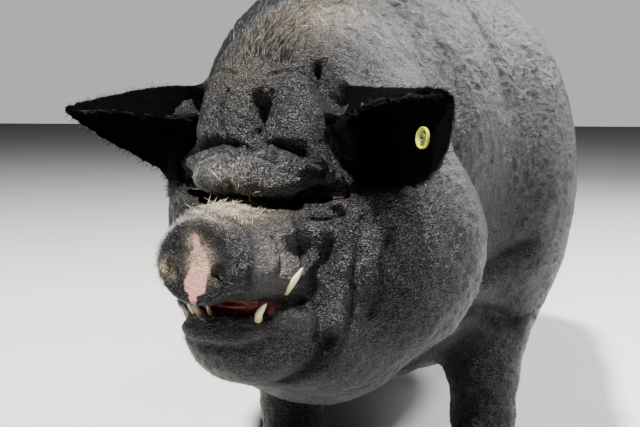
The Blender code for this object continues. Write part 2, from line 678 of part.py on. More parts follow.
def makePig():
    hide = finishes["hide"]
    trunk = makeFlesh()
    cutFace(trunk)
    headFrame = headMatrix()
    ears = {}
    for side, name in ((1, "ear_left"), (-1, "ear_right")):
        region = boxRegion(earFrame(side), (earCut, -0.07, -0.085), (0.26, 0.036, 0.06))
        ears[side] = splitOff(trunk, name, region, hide)
    nose = boxRegion(headFrame, (-0.08, -0.20, noseLow), (0.08, noseCut, 0.02))
    nose = splitOff(trunk, "nose", nose, finishes["nose"])
    jaw = splitOff(trunk, "lower_jaw", boxRegion(headFrame, (-0.16, -0.20, -0.30),
                                                 (0.16, jawBack, jawCut)), hide)
    head = splitOff(trunk, "head", boxRegion(headFrame, (-0.40, -0.30, -0.40),
                                             (0.40, headBack, 0.40)), hide)
    splitOff(trunk, "neck", boxRegion(Matrix.Identity(4), (-0.5, -0.8, 0.02), (0.5, neckBack, 0.9)), hide)
    splitOff(trunk, "tail", boxRegion(Matrix.Identity(4), (-0.06, tailCut, 0.20), (0.07, 0.9, 0.56)), hide)
    for side, word in ((1, "left"), (-1, "right")):
        fore = splitOff(trunk, f"foreleg_{word}", columnRegion((0.127 * side, -0.012), 0.080, -0.05, 0.225), hide)
        hind = splitOff(trunk, f"hindleg_{word}", columnRegion((0.130 * side, 0.537), 0.094, -0.05, 0.235), hide)
        makeFoot(fore, f"fore_{word}")
        makeFoot(hind, f"hind_{word}")
    makeTeeth((head, jaw, nose))
    makeEyes()
    makeTongue()
    makeTag(ears[1])
    for obj in pigPieces.objects:
        obj.location = bodyPlace


clearScene()
pigPieces = makeCollection("pig")
pigCutters = makeCollection("cutters")
finishes = {
    "hide": makeMaterial("hide", (0.035, 0.034, 0.036), 0.62),
    "nose": makeMaterial("nose", (0.110, 0.075, 0.070), 0.50),
    "eye": makeMaterial("eye", (0.020, 0.012, 0.008), 0.10),
    "tongue": makeMaterial("tongue", (0.300, 0.060, 0.060), 0.35),
    "tusk": makeMaterial("tusk", (0.700, 0.580, 0.330), 0.30),
    "tooth": makeMaterial("tooth", (0.740, 0.680, 0.540), 0.30),
    "horn": makeMaterial("horn", (0.045, 0.038, 0.034), 0.45),
    "tag": makeMaterial("tag", (0.580, 0.620, 0.060), 0.40),
    "guide": makeMaterial("guide", (0.900, 0.300, 0.100), 0.80),
}
makePig()
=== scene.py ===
import json
import math

import bmesh
import bpy
import numpy as np
from mathutils import Euler, Matrix, Vector

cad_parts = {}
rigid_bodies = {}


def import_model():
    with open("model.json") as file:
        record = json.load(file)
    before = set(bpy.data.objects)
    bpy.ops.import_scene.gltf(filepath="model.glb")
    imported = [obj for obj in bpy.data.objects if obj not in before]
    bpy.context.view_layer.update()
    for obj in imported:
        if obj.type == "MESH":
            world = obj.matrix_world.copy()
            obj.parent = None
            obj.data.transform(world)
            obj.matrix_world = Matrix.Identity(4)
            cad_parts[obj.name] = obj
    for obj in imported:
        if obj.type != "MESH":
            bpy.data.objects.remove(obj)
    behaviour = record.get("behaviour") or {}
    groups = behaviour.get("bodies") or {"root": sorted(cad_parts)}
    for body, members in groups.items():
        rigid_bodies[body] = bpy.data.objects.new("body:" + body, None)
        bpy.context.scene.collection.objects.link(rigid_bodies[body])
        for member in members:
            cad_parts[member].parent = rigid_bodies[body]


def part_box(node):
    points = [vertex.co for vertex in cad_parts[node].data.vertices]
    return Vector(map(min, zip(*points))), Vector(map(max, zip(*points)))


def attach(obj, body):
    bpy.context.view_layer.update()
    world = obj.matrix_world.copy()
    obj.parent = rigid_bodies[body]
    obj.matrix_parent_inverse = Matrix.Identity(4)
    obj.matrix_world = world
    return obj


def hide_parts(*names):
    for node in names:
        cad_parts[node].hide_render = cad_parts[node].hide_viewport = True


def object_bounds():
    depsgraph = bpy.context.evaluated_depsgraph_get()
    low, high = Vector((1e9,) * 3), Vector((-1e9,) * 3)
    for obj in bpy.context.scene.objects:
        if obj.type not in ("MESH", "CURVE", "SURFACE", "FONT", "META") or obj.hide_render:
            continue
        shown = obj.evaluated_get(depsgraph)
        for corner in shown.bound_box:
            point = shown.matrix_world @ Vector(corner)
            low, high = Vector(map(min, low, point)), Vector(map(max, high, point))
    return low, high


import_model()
cadLow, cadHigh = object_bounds()


# The pig's two frames: the body's, and the head's, which starts between the eyes before it turns.
def nodeMiddle(name):
    low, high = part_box(name)
    return (low + high) / 2


eyeInHead = Vector((0.083, 0.000, -0.001))
leftEye, rightEye = nodeMiddle("eye_left"), nodeMiddle("eye_right")
headTurn = math.atan2(leftEye.y - rightEye.y, leftEye.x - rightEye.x)
headRotation = Matrix.Rotation(headTurn, 4, "Z")
headPlace = (leftEye + rightEye) / 2 - headRotation @ Vector((0, eyeInHead.y, eyeInHead.z))
headFrame = Matrix.Translation(headPlace) @ headRotation
bodyFrame = Matrix.Translation(headPlace - Vector((-0.070, -0.400, 0.380)))

# The masses of flesh. name: centre, radii, turn in degrees, blend, and whether it is a pair
bodyMasses = {
    "chest": ((0, 0.030, 0.385), (0.212, 0.215, 0.262), (0, 0, 0), 0.08, False),
    "belly": ((0, 0.260, 0.346), (0.246, 0.320, 0.266), (4, 0, 0), 0.12, False),
    "back": ((0, 0.240, 0.470), (0.170, 0.390, 0.185), (0, 0, 0), 0.06, False),
    "loin": ((0, 0.410, 0.420), (0.198, 0.220, 0.234), (0, 0, 0), 0.10, False),
    "rump": ((0, 0.515, 0.435), (0.194, 0.190, 0.222), (-8, 0, 0), 0.10, False),
    "shoulder": ((0.125, 0.000, 0.370), (0.105, 0.130, 0.200), (0, 0, 6), 0.05, True),
    "ham": ((0.112, 0.522, 0.350), (0.114, 0.152, 0.210), (-12, 0, 0), 0.05, True),
    "neck": ((-0.020, -0.170, 0.430), (0.172, 0.190, 0.170), (-10, 0, -10), 0.07, False),
    "crest": ((-0.012, -0.120, 0.500), (0.120, 0.190, 0.120), (12, 0, -8), 0.07, False),
    "brisket": ((-0.010, -0.120, 0.260), (0.130, 0.130, 0.130), (20, 0, 0), 0.06, False),
    "dewlap": ((-0.030, -0.250, 0.240), (0.100, 0.125, 0.085), (20, 0, -15), 0.04, False),
}
headMasses = {
    "skull": ((0, 0.080, 0.030), (0.108, 0.120, 0.120), (0, 0, 0), 0.05, False),
    "poll": ((0, 0.085, 0.085), (0.088, 0.105, 0.085), (-20, 0, 0), 0.05, False),
    "browRidge": ((0.046, 0.020, 0.066), (0.034, 0.042, 0.060), (-12, 8, 0), 0.024, True),
    "temple": ((0.088, 0.070, 0.020), (0.056, 0.075, 0.085), (0, 0, 0), 0.03, True),
    "earCheek": ((0.100, 0.062, -0.010), (0.052, 0.064, 0.078), (0, 0, 0), 0.03, True),
    "browRoll": ((0, -0.018, 0.0185), (0.064, 0.046, 0.0270), (-4, 0, 0), 0.004, False),
    "browSide": ((0.060, -0.002, 0.0255), (0.046, 0.036, 0.0185), (0, 6, 20), 0.010, True),
    "browLow": ((0.036, -0.014, 0.0125), (0.032, 0.038, 0.0180), (0, 0, 8), 0.006, True),
    "bridge": ((0, -0.040, -0.034), (0.053, 0.064, 0.0305), (5, 0, 0), 0.006, False),
    "underEye": ((0.068, -0.006, -0.026), (0.032, 0.026, 0.0200), (0, 10, 20), 0.010, True),
    "bridgeSide": ((0.039, -0.026, -0.0275), (0.032, 0.046, 0.0205), (4, 0, 8), 0.008, True),
    "muzzle": ((0.024, -0.052, -0.058), (0.042, 0.050, 0.041), (0, 0, 6), 0.012, True),
    "lip": ((0.040, -0.026, -0.070), (0.034, 0.044, 0.026), (0, 0, 24), 0.010, True),
    "lipSide": ((0.054, -0.028, -0.106), (0.024, 0.036, 0.015), (0, 0, 0), 0.008, True),
    "cheek": ((0.078, 0.024, -0.054), (0.046, 0.050, 0.060), (0, 0, 0), 0.022, True),
    "jowl": ((0.100, 0.088, -0.062), (0.078, 0.084, 0.104), (0, 10, 0), 0.022, True),
    "lowerLip": ((0, -0.058, -0.124), (0.052, 0.038, 0.017), (8, 0, 0), 0.010, False),
    "chin": ((0, -0.040, -0.140), (0.054, 0.046, 0.036), (0, 0, 0), 0.016, False),
    "jaw": ((0, -0.008, -0.140), (0.066, 0.066, 0.048), (-14, 0, 0), 0.020, False),
    "jawSide": ((0.058, 0.026, -0.126), (0.050, 0.062, 0.060), (-10, 0, 0), 0.030, True),
    "throat": ((0, 0.070, -0.150), (0.105, 0.085, 0.070), (-15, 0, 0), 0.030, False),
}
# Limbs are (point, radius) from the body down, on the left side
limbs = {
    "foreleg": [((0.135, 0.010, 0.270), 0.072), ((0.128, -0.010, 0.165), 0.050),
                ((0.125, -0.022, 0.120), 0.045), ((0.124, -0.018, 0.060), 0.041),
                ((0.124, -0.032, 0.036), 0.036)],
    "hindleg": [((0.130, 0.450, 0.290), 0.094), ((0.132, 0.562, 0.190), 0.057),
                ((0.128, 0.556, 0.110), 0.043), ((0.126, 0.542, 0.060), 0.041),
                ((0.126, 0.526, 0.036), 0.037)],
}
limbBlend = 0.035
tailStations = [((0, 0.672, 0.510), 0.021), ((0.004, 0.722, 0.482), 0.015),
                ((0.010, 0.742, 0.420), 0.011), ((0.014, 0.740, 0.350), 0.009),
                ((0.016, 0.734, 0.290), 0.007)]
tailBlend = 0.014

# Ears, by side. Each row of a profile: share of the length, lower margin, crest, rim, and
# how far the rim stands forwards
ear = {
    "root": {1: Vector((0.080, 0.020, 0.068)), -1: Vector((-0.080, 0.020, 0.068))},
    "tip": {1: Vector((0.230, -0.056, 0.092)), -1: Vector((-0.217, -0.060, 0.074))},
    "roll": {1: -6, -1: 0},
    "thick": 0.0105,
    "thin": 0.0055,
    "blend": 0.018,
    "profile": {
        -1: [(-0.15, -0.040, 0.024, -0.004, 0.022), (0.0, -0.050, 0.026, -0.006, 0.026),
             (0.12, -0.057, 0.027, -0.005, 0.028), (0.25, -0.062, 0.027, -0.003, 0.028),
             (0.38, -0.056, 0.025, -0.001, 0.026), (0.52, -0.046, 0.021, 0.000, 0.022),
             (0.70, -0.032, 0.015, 0.001, 0.016), (0.85, -0.018, 0.009, 0.001, 0.009),
             (0.95, -0.007, 0.004, 0.000, 0.004), (1.0, -0.002, 0.001, 0.000, 0.001)],
        1: [(-0.15, -0.040, 0.022, -0.008, 0.022), (0.0, -0.048, 0.024, -0.010, 0.026),
            (0.12, -0.054, 0.023, -0.009, 0.028), (0.25, -0.060, 0.021, -0.006, 0.028),
            (0.38, -0.064, 0.017, -0.002, 0.026), (0.52, -0.066, 0.014, 0.002, 0.021),
            (0.70, -0.062, 0.010, 0.004, 0.013), (0.85, -0.051, 0.007, 0.005, 0.007),
            (0.95, -0.038, 0.004, 0.002, 0.003), (1.0, -0.024, -0.002, -0.004, 0.001)],
    },
}

# What the face adds to those masses, in the head's frame
snoutDisc = {"centre": Vector((0, -0.0975, -0.0575)), "radii": (0.0475, 0.0400), "half": 0.0125,
             "round": 0.0070, "tilt": -6, "dish": 0.0025, "blend": 0.005}
nostril = {"place": Vector((0.0265, -0.1110, -0.0665)), "radii": (0.0060, 0.0150, 0.0082), "lean": 18}
mouth = {"centre": Vector((0, -0.040, -0.1020)), "radii": (0.051, 0.062, 0.0072), "blend": 0.003}
eyeball = {"radius": 0.0120, "lid": 0.0036, "slit": (0.0125, 0.0180, 0.0022), "tilt": -6}

# Folds. name: line through the skin, depth (a ridge if below zero), half width, pair, and
# which way it tucks under, if it does
headFolds = {
    "underBrow": ([(0, -0.058, -0.004), (0.020, -0.056, -0.005), (0.040, -0.046, -0.007),
                   (0.056, -0.034, -0.007)], 0.0100, 0.0026, True, (0, 0.3, 0.2)),
    "eyeHollow": ([(0.058, -0.030, -0.004), (0.072, -0.026, 0.002), (0.090, -0.020, 0.004),
                   (0.108, -0.010, 0.003)], 0.0105, 0.0030, True, (0, 0.2, 0.3)),
    "lowerLid": ([(0.064, -0.026, -0.010), (0.078, -0.024, -0.0095), (0.094, -0.017, -0.007)],
                 -0.0045, 0.0042, True),
    "underEye": ([(0.073, -0.029, -0.021), (0.084, -0.026, -0.021), (0.100, -0.018, -0.015)],
                 0.0034, 0.0026, True),
    "behindDisc": ([(0, -0.086, -0.015), (0.020, -0.084, -0.017), (0.036, -0.083, -0.023),
                    (0.046, -0.086, -0.040), (0.049, -0.088, -0.060), (0.042, -0.086, -0.082)],
                   0.0050, 0.0018, True, (0, -0.5, 0)),
    "snoutSide": ([(0.030, -0.066, -0.014), (0.042, -0.054, -0.018), (0.052, -0.044, -0.026),
                   (0.061, -0.038, -0.036), (0.068, -0.038, -0.048), (0.072, -0.042, -0.062)],
                  0.0048, 0.0018, True, (0, -0.3, 0.2)),
    "drumCrease": ([(0.052, -0.066, -0.036), (0.058, -0.062, -0.050), (0.057, -0.064, -0.064)],
                   0.0022, 0.0018, True),
    "cheekFront": ([(0.086, -0.022, -0.040), (0.084, -0.026, -0.054), (0.078, -0.031, -0.075),
                    (0.084, -0.031, -0.098), (0.080, -0.031, -0.125)], 0.0060, 0.0064, True),
    "cheekRoll": ([(0.093, -0.016, -0.030), (0.096, -0.020, -0.070), (0.092, -0.020, -0.115)],
                  -0.0030, 0.0090, True),
    "cheekBack": ([(0.112, -0.008, -0.020), (0.107, -0.012, -0.036), (0.110, -0.012, -0.052),
                   (0.104, -0.012, -0.074), (0.106, -0.011, -0.094), (0.098, -0.011, -0.122),
                   (0.090, -0.016, -0.144), (0.077, -0.021, -0.160)], 0.0024, 0.0030, True),
    "cheekWave": ([(0.130, 0.010, -0.030), (0.126, 0.004, -0.056), (0.129, 0.004, -0.082),
                   (0.120, 0.002, -0.110)], 0.0024, 0.0048, True),
    "foreheadHollow": ([(0.012, -0.026, 0.080), (0.009, -0.032, 0.056)], 0.0220, 0.0130, False),
    "foreheadRidge": ([(0.046, -0.020, 0.110), (0.050, -0.030, 0.080), (0.058, -0.030, 0.055)],
                      -0.0060, 0.0150, True),
    "browTop": ([(0, -0.043, 0.044), (0.031, -0.037, 0.047), (0.060, -0.031, 0.041),
                 (0.081, -0.026, 0.028)], 0.0055, 0.0042, True, (0, 0.0, -0.3)),
    "foreheadCrease": ([(0.026, -0.030, 0.094), (0.031, -0.036, 0.072), (0.027, -0.036, 0.054)],
                       0.0042, 0.0028, True),
    "foreheadFurrow": ([(0.020, -0.020, 0.108), (0.044, -0.018, 0.112), (0.066, -0.008, 0.104)],
                       0.0036, 0.0034, True),
    "browLobe": ([(0.014, -0.046, 0.014), (0.036, -0.040, 0.012)], -0.0050, 0.0130, True),
    "earValley": ([(0.062, -0.003, 0.118), (0.080, -0.012, 0.090), (0.092, -0.010, 0.058),
                   (0.104, -0.008, 0.024)], 0.0200, 0.0100, True),
    "browWrinkle": ([(0.041, -0.044, 0.029), (0.014, -0.047, 0.036), (0, -0.049, 0.034)],
                    0.0034, 0.0030, True),
    "browCentre": ([(0.004, -0.050, 0.034), (0.002, -0.054, 0.010)], 0.0040, 0.0045, False),
    "templeWrinkle": ([(0.075, -0.020, 0.068), (0.085, -0.016, 0.041), (0.092, -0.017, 0.020)],
                      0.0060, 0.0050, True),
    "jawFold": ([(0.088, -0.024, -0.131), (0.075, -0.028, -0.155), (0.039, -0.026, -0.179)],
                0.0080, 0.0060, True),
    "lipFold": ([(0, -0.092, -0.136), (0.026, -0.084, -0.134), (0.050, -0.064, -0.126)],
                0.0035, 0.0050, True),
    "mouthLine": ([(0.044, -0.066, -0.105), (0.058, -0.052, -0.100), (0.069, -0.040, -0.094)],
                  0.0060, 0.0026, True),
}
bodyFolds = {
    "shoulder": ([(0.134, -0.144, 0.263), (0.179, -0.106, 0.288)], 0.0120, 0.0140, True),
    "brisket": ([(0.112, -0.147, 0.212), (0.140, -0.085, 0.201), (0.169, -0.053, 0.187)],
                0.0120, 0.0120, True),
    "flank": ([(0.150, 0.400, 0.220), (0.190, 0.385, 0.290), (0.205, 0.400, 0.350)],
              0.0120, 0.0180, True),
    "elbow": ([(0.186, 0.075, 0.200), (0.200, 0.050, 0.260), (0.205, 0.060, 0.310)],
              0.0080, 0.0160, True),
    "neckRing": ([(0, -0.140, 0.606), (0.110, -0.150, 0.560), (0.165, -0.165, 0.460)],
                 0.0060, 0.0160, True),
}
coatDepth = {"head": 0.0015, "body": 0.0035}
skinMesh = {"voxel": 0.0062, "swell": 0.62, "ripple": 0.0004, "faceWrinkle": 0.0009,
            "bodyWrinkle": 0.0040, "faceEdge": 0.0013}


def headPoint(point):
    return np.array(headFrame @ Vector(point))


def curveThrough(points, steps=4):
    # A smooth line through the points, with steps parts between each two
    points = [Vector(p) for p in points]
    ends = [2 * points[0] - points[1]] + points + [2 * points[-1] - points[-2]]
    found = []
    for a, b, c, d in zip(ends, ends[1:], ends[2:], ends[3:]):
        for k in range(steps):
            t = k / steps
            found.append(0.5 * (2 * b + (c - a) * t + (2 * a - 5 * b + 4 * c - d) * t**2
                                + (3 * b - a - 3 * c + d) * t**3))
    return found + [points[-1]]


def smoothUnion(a, b, blend):
    overlap = np.clip(blend - np.abs(a - b), 0, None) / blend
    return np.minimum(a, b) - overlap**2 * blend / 4


def smoothCut(a, b, blend):
    overlap = np.clip(blend - np.abs(a + b), 0, None) / blend
    return np.maximum(a, -b) + overlap**2 * blend / 4


def smoothStep(value, low, high):
    share = np.clip((value - low) / (high - low), 0, 1)
    return share * share * (3 - 2 * share)


def allMasses():
    found = []
    for place, masses in ((bodyFrame, bodyMasses), (headFrame, headMasses)):
        for centre, radii, turn, blend, pair in masses.values():
            for side in (1, -1) if pair else (1,):
                angles = [math.radians(turn[0])] + [math.radians(t) * side for t in turn[1:]]
                at = Matrix.Translation((centre[0] * side, centre[1], centre[2]))
                found.append((place @ at @ Euler(angles).to_matrix().to_4x4(), radii, blend))
    return found


def allLimbs():
    chains = [(tailStations, tailBlend, 1)]
    for stations in limbs.values():
        chains += [(stations, limbBlend, 1), (stations, limbBlend, -1)]
    return [([(bodyFrame @ Vector((p[0] * side, p[1], p[2])), r) for p, r in stations], blend)
            for stations, blend, side in chains]


def allFolds():
    found = []
    for place, folds in ((headFrame, headFolds), (bodyFrame, bodyFolds)):
        for line, depth, width, pair, *tuck in folds.values():
            for side in (1, -1) if pair else (1,):
                sided = [place @ Vector((p[0] * side, p[1], p[2])) for p in line]
                slant = place.to_3x3() @ Vector((tuck[0][0] * side, *tuck[0][1:])) if tuck else (0, 0, 0)
                found.append((np.array(curveThrough(sided)), depth, width, slant))
    return found


def seatFolds(folds):
    # Brings every fold's line onto the form
    seated = drawOntoForm(np.concatenate([fold[0] for fold in folds]), 4)
    ends = np.cumsum([len(fold[0]) for fold in folds])[:-1]
    return [(line, *fold[1:]) for line, fold in zip(np.split(seated, ends), folds)]


def earFrame(side):
    # X from root to tip, Z up across the ear, and -Y towards its hollow
    root, tip = ear["root"][side], ear["tip"][side]
    along = (tip - root).normalized()
    back = Vector((0, 0, 1)).cross(along).normalized() * side
    up = along.cross(back).normalized() * side
    turn = Matrix((along, back, up)).transposed().to_4x4()
    roll = Matrix.Rotation(math.radians(ear["roll"][side]), 4, "X")
    return headFrame @ Matrix.Translation(root) @ turn @ roll


def earSection(u, side):
    table = np.array(ear["profile"][side])
    low, crest, rim, forward = (np.interp(u, table[:, 0], table[:, k]) for k in range(1, 5))
    bow = 0.010 * np.clip(1 - u, 0, 1) ** 0.5
    return [(forward, low), (0.8 * bow + 0.45 * forward, 0.55 * low),
            (bow + 0.05 * forward, 0.1 * low + 0.2 * crest),
            (0.3 * bow, 0.85 * crest), (-0.45 * forward, crest), (-forward, rim)]


def earPlace(points, side):
    # Where the points are in the ear: share of its length, and what is left beyond its tip
    inverse = np.array(earFrame(side).inverted())
    local = points @ inverse[:3, :3].T + inverse[:3, 3]
    length = (ear["tip"][side] - ear["root"][side]).length
    u = np.clip(local[:, 0] / length, -0.15, 1)
    return local, u, local[:, 0] - u * length


def earField(points, side):
    local, u, beyond = earPlace(points, side)
    section = earSection(u, side)
    found = np.full(len(points), 1.0)
    for (y0, z0), (y1, z1) in zip(section, section[1:]):
        dy, dz = y1 - y0, z1 - z0
        share = (local[:, 1] - y0) * dy + (local[:, 2] - z0) * dz
        share = np.clip(share / np.maximum(dy**2 + dz**2, 1e-12), 0, 1)
        away = np.sqrt((local[:, 1] - y0 - share * dy) ** 2 + (local[:, 2] - z0 - share * dz) ** 2
                       + beyond**2)
        found = np.minimum(found, away)
    return found - (ear["thick"] + (ear["thin"] - ear["thick"]) * np.clip(u, 0, 1)) / 2


def lengthOf(vectors):
    return np.sqrt(np.einsum("ij,ij->i", vectors, vectors))


def ellipsoidField(points, matrix, radii):
    # About the distance to the ellipsoid, below zero inside it
    local = (points - np.array(matrix.translation)) @ np.array(matrix.to_3x3()) / radii
    near = lengthOf(local) + 1e-9
    return near * (near - 1) / (lengthOf(local / radii) + 1e-9)


def limbField(points, stations):
    found = np.full(len(points), 1.0)
    for (start, startRadius), (end, endRadius) in zip(stations, stations[1:]):
        start, along = np.array(start), np.array(end) - np.array(start)
        share = np.clip((points - start) @ along / (along @ along), 0, 1)
        away = lengthOf(points - start - share[:, None] * along)
        found = smoothUnion(found, away - startRadius - share * (endRadius - startRadius), 0.01)
    return found


def discField(points):
    # The nose's flat plate: an upright oval with a rounded rim and a shallow dish in front
    tilt = Matrix.Rotation(math.radians(snoutDisc["tilt"]), 4, "X")
    matrix = headFrame @ Matrix.Translation(snoutDisc["centre"]) @ tilt
    local = (points - np.array(matrix.translation)) @ np.array(matrix.to_3x3())
    radii = np.array(snoutDisc["radii"]) - snoutDisc["round"]
    flat = local[:, [0, 2]]
    near = np.linalg.norm(flat / radii, axis=1) + 1e-9
    slope = np.linalg.norm(flat / radii**2, axis=1) + 1e-9
    side = near * (near - 1) / slope
    dish = snoutDisc["dish"] * np.exp(-(near / 0.75) ** 2) * (local[:, 1] < 0)
    front = np.abs(local[:, 1]) - (snoutDisc["half"] - snoutDisc["round"]) + dish
    outside = np.hypot(np.clip(side, 0, None), np.clip(front, 0, None))
    return outside + np.minimum(np.maximum(side, front), 0) - snoutDisc["round"]


def lineAway(points, line):
    # The distance to a line of points
    away = np.full(len(points), 1.0)
    for start, end in zip(line, line[1:]):
        along = end - start
        share = np.clip((points - start) @ along / (along @ along), 0, 1)
        away = np.minimum(away, lengthOf(points - start - share[:, None] * along))
    return away


def sidedHead(place, side, turn=0.0):
    tilt = Matrix.Rotation(math.radians(turn) * side, 4, "Y")
    return headFrame @ Matrix.Translation((place.x * side, place.y, place.z)) @ tilt


def insetDepth(points):
    # How far the skin lies inside the coat: least on the face, the feet and the tail
    fromHead = lengthOf(points - np.array(headPlace))
    share = smoothStep(fromHead, 0.20, 0.34) * smoothStep(points[:, 2], 0.10, 0.22)
    share *= 1 - smoothStep(points[:, 1], cadHigh.y - 0.10, cadHigh.y - 0.04)
    return coatDepth["head"] + (coatDepth["body"] - coatDepth["head"]) * share


def skinField(points, masses, chains, onHead):
    field = np.full(len(points), 0.2)
    for matrix, radii, blend in masses:
        field = smoothUnion(field, ellipsoidField(points, matrix, radii), blend)
    for stations, blend in chains:
        field = smoothUnion(field, limbField(points, stations), blend)
    if onHead:
        for side in (1, -1):
            field = smoothUnion(field, earField(points, side), ear["blend"])
        field = smoothUnion(field, discField(points), snoutDisc["blend"])
        field = faceField(points, field)
    return field + insetDepth(points)


def faceField(points, field):
    # Lids over each eye, and the openings: the lids' slit, the nostrils and the mouth
    for side in (1, -1):
        centre = sidedHead(eyeInHead, side)
        lids = ellipsoidField(points, centre, (eyeball["radius"] + eyeball["lid"],) * 3)
        field = smoothUnion(field, lids, 0.010)
        front = eyeInHead + Vector((0.002, -eyeball["radius"] - 0.006, 0))
        slit = ellipsoidField(points, sidedHead(front, side, eyeball["tilt"]), eyeball["slit"])
        field = smoothCut(field, slit, 0.003)
        hole = sidedHead(nostril["place"], side, nostril["lean"])
        field = smoothCut(field, ellipsoidField(points, hole, nostril["radii"]), 0.004)
    gape = ellipsoidField(points, headFrame @ Matrix.Translation(mouth["centre"]), mouth["radii"])
    return smoothCut(field, gape, mouth["blend"])


def drawOntoForm(points, rounds, block=0.09, longest=0.010, probe=0.0004):
    # Moves points onto the skin by short steps down its slope, a block of space at a time
    _, member = np.unique(np.floor(points / block).astype(int) @ (1, 1000, 1000000), return_inverse=True)
    order = np.argsort(member, kind="stable")
    blocks = np.split(order, np.cumsum(np.bincount(member))[:-1])
    middles = np.array([(points[b].min(axis=0) + points[b].max(axis=0)) / 2 for b in blocks])
    reach = np.array([lengthOf(points[b] - m).max() for b, m in zip(blocks, middles)]) + longest
    nearMass = [ellipsoidField(middles, m[0], m[1]) < 1.4 * reach + m[2] for m in fleshMasses]
    nearLimb = [limbField(middles, c[0]) < reach + c[1] for c in fleshLimbs]
    onHead = lengthOf(middles - np.array(headPlace)) < reach + 0.27
    found = points.copy()
    for k, chosen in enumerate(blocks):
        here = points[chosen]
        local = ([m for m, near in zip(fleshMasses, nearMass) if near[k]],
                 [c for c, near in zip(fleshLimbs, nearLimb) if near[k]], onHead[k])
        for _ in range(rounds):
            value = skinField(here, *local)
            slope = np.empty_like(here)
            for axis in range(3):
                step = np.zeros(3)
                step[axis] = probe
                slope[:, axis] = (skinField(here + step, *local) - value) / probe
            move = -value[:, None] * slope / np.maximum((slope**2).sum(axis=1), 0.3)[:, None]
            here = here + move * np.minimum(1, longest / np.maximum(lengthOf(move), 1e-9))[:, None]
        found[chosen] = here
    return found


def foldSkin(points, normals):
    # Presses the folds in, or their ridges out, and deeper on a slant where they tuck under
    moved = points.copy()
    for line, depth, width, tuck in fleshFolds:
        low, high = line.min(axis=0) - 2.6 * width, line.max(axis=0) + 2.6 * width
        near = np.all((points > low) & (points < high), axis=1)
        press = depth * np.exp(-(lineAway(points[near], line) / width) ** 1.7)
        moved[near] -= press[:, None] * (normals[near] - np.array(tuck))
    return moved


def foldShade(points):
    # Painted shade: 1 down in a fold, 0 away from them all
    deepest = np.zeros(len(points))
    for line, depth, width, _ in fleshFolds:
        if depth <= 0:
            continue
        reach = width + 0.30 * depth
        low, high = line.min(axis=0) - 2 * reach, line.max(axis=0) + 2 * reach
        near = np.all((points > low) & (points < high), axis=1)
        strength = min(1, depth / 0.008) * (0.2 if width > 0.011 else 0.4 if width > 0.006 else 1)
        share = strength * np.exp(-(lineAway(points[near], line) / reach) ** 2)
        deepest[near] = np.maximum(deepest[near], share)
    return deepest


def ripples(points, seed=11, count=28):
    # A shallow unevenness with no direction of its own
    waves = np.random.default_rng(seed)
    total = np.zeros(len(points))
    for _ in range(count):
        direction = waves.normal(size=3)
        direction *= 2 * math.pi / waves.uniform(0.008, 0.045) / np.linalg.norm(direction)
        total += np.sin(points @ direction + waves.uniform(0, 6.3))
    return total / math.sqrt(count)


def creasing(points, seed, shortest, longest, count=9):
    # Crossing creases: each wandering wave is sharp in its valley and round on top
    waves = np.random.default_rng(seed)
    total = np.zeros(len(points))
    warp = ripples(points, seed + 1, 14)
    for _ in range(count):
        direction = waves.normal(size=3) * (1.0, 1.0, 0.55)
        direction *= math.pi / waves.uniform(shortest, longest) / np.linalg.norm(direction)
        wave = np.abs(np.sin(points @ direction + 1.1 * warp + waves.uniform(0, 6.3)))
        strength = smoothStep(ripples(points * 0.25, waves.integers(1000), 10), -0.6, 1.0)
        total += strength * (np.sqrt(wave + 0.02) - 0.75)
    return total / math.sqrt(count)


fleshMasses = allMasses()
fleshLimbs = allLimbs()
fleshFolds = seatFolds(allFolds())


# Meshes and arrays
def meshFromArrays(name, points, triangles):
    mesh = bpy.data.meshes.new(name)
    mesh.vertices.add(len(points))
    mesh.vertices.foreach_set("co", np.ascontiguousarray(points, np.float32).ravel())
    mesh.loops.add(3 * len(triangles))
    mesh.loops.foreach_set("vertex_index", np.ascontiguousarray(triangles, np.int32).ravel())
    mesh.polygons.add(len(triangles))
    mesh.polygons.foreach_set("loop_start", np.arange(0, 3 * len(triangles), 3, dtype=np.int32))
    mesh.update(calc_edges=True)
    return mesh


def pointsOf(mesh):
    points = np.empty(len(mesh.vertices) * 3)
    mesh.vertices.foreach_get("co", points)
    return points.reshape(-1, 3)


def movePoints(mesh, points):
    mesh.vertices.foreach_set("co", np.ascontiguousarray(points, np.float32).ravel())
    mesh.update()


def normalsOf(mesh):
    normals = np.empty(len(mesh.vertices) * 3, np.float32)
    mesh.vertices.foreach_get("normal", normals)
    return normals.reshape(-1, 3).astype(float)


def trianglesOf(mesh):
    mesh.calc_loop_triangles()
    triangles = np.empty(len(mesh.loop_triangles) * 3, np.int32)
    mesh.loop_triangles.foreach_get("vertices", triangles)
    return triangles.reshape(-1, 3)


def setAttribute(mesh, name, values):
    attribute = mesh.attributes.get(name) or mesh.attributes.new(name, "FLOAT", "POINT")
    attribute.data.foreach_set("value", np.ascontiguousarray(values, np.float32))


def applyModifiers(obj):
    graph = bpy.context.evaluated_depsgraph_get()
    old = obj.data
    obj.data = bpy.data.meshes.new_from_object(obj.evaluated_get(graph))
    obj.modifiers.clear()
    bpy.data.meshes.remove(old)


def makePiece(name, mesh, material, nodes=()):
    obj = bpy.data.objects.new(name, mesh)
    bpy.context.scene.collection.objects.link(obj)
    mesh.materials.clear()
    mesh.materials.append(material)
    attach(obj, "root")
    if nodes:
        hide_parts(*nodes)
    return obj


# The skin
def joinMeshes(parts):
    # One mesh from several (points, triangles)
    points, triangles, start = [], [], 0
    for p, t in parts:
        points.append(p)
        triangles.append(t + start)
        start += len(p)
    return np.concatenate(points), np.concatenate(triangles)


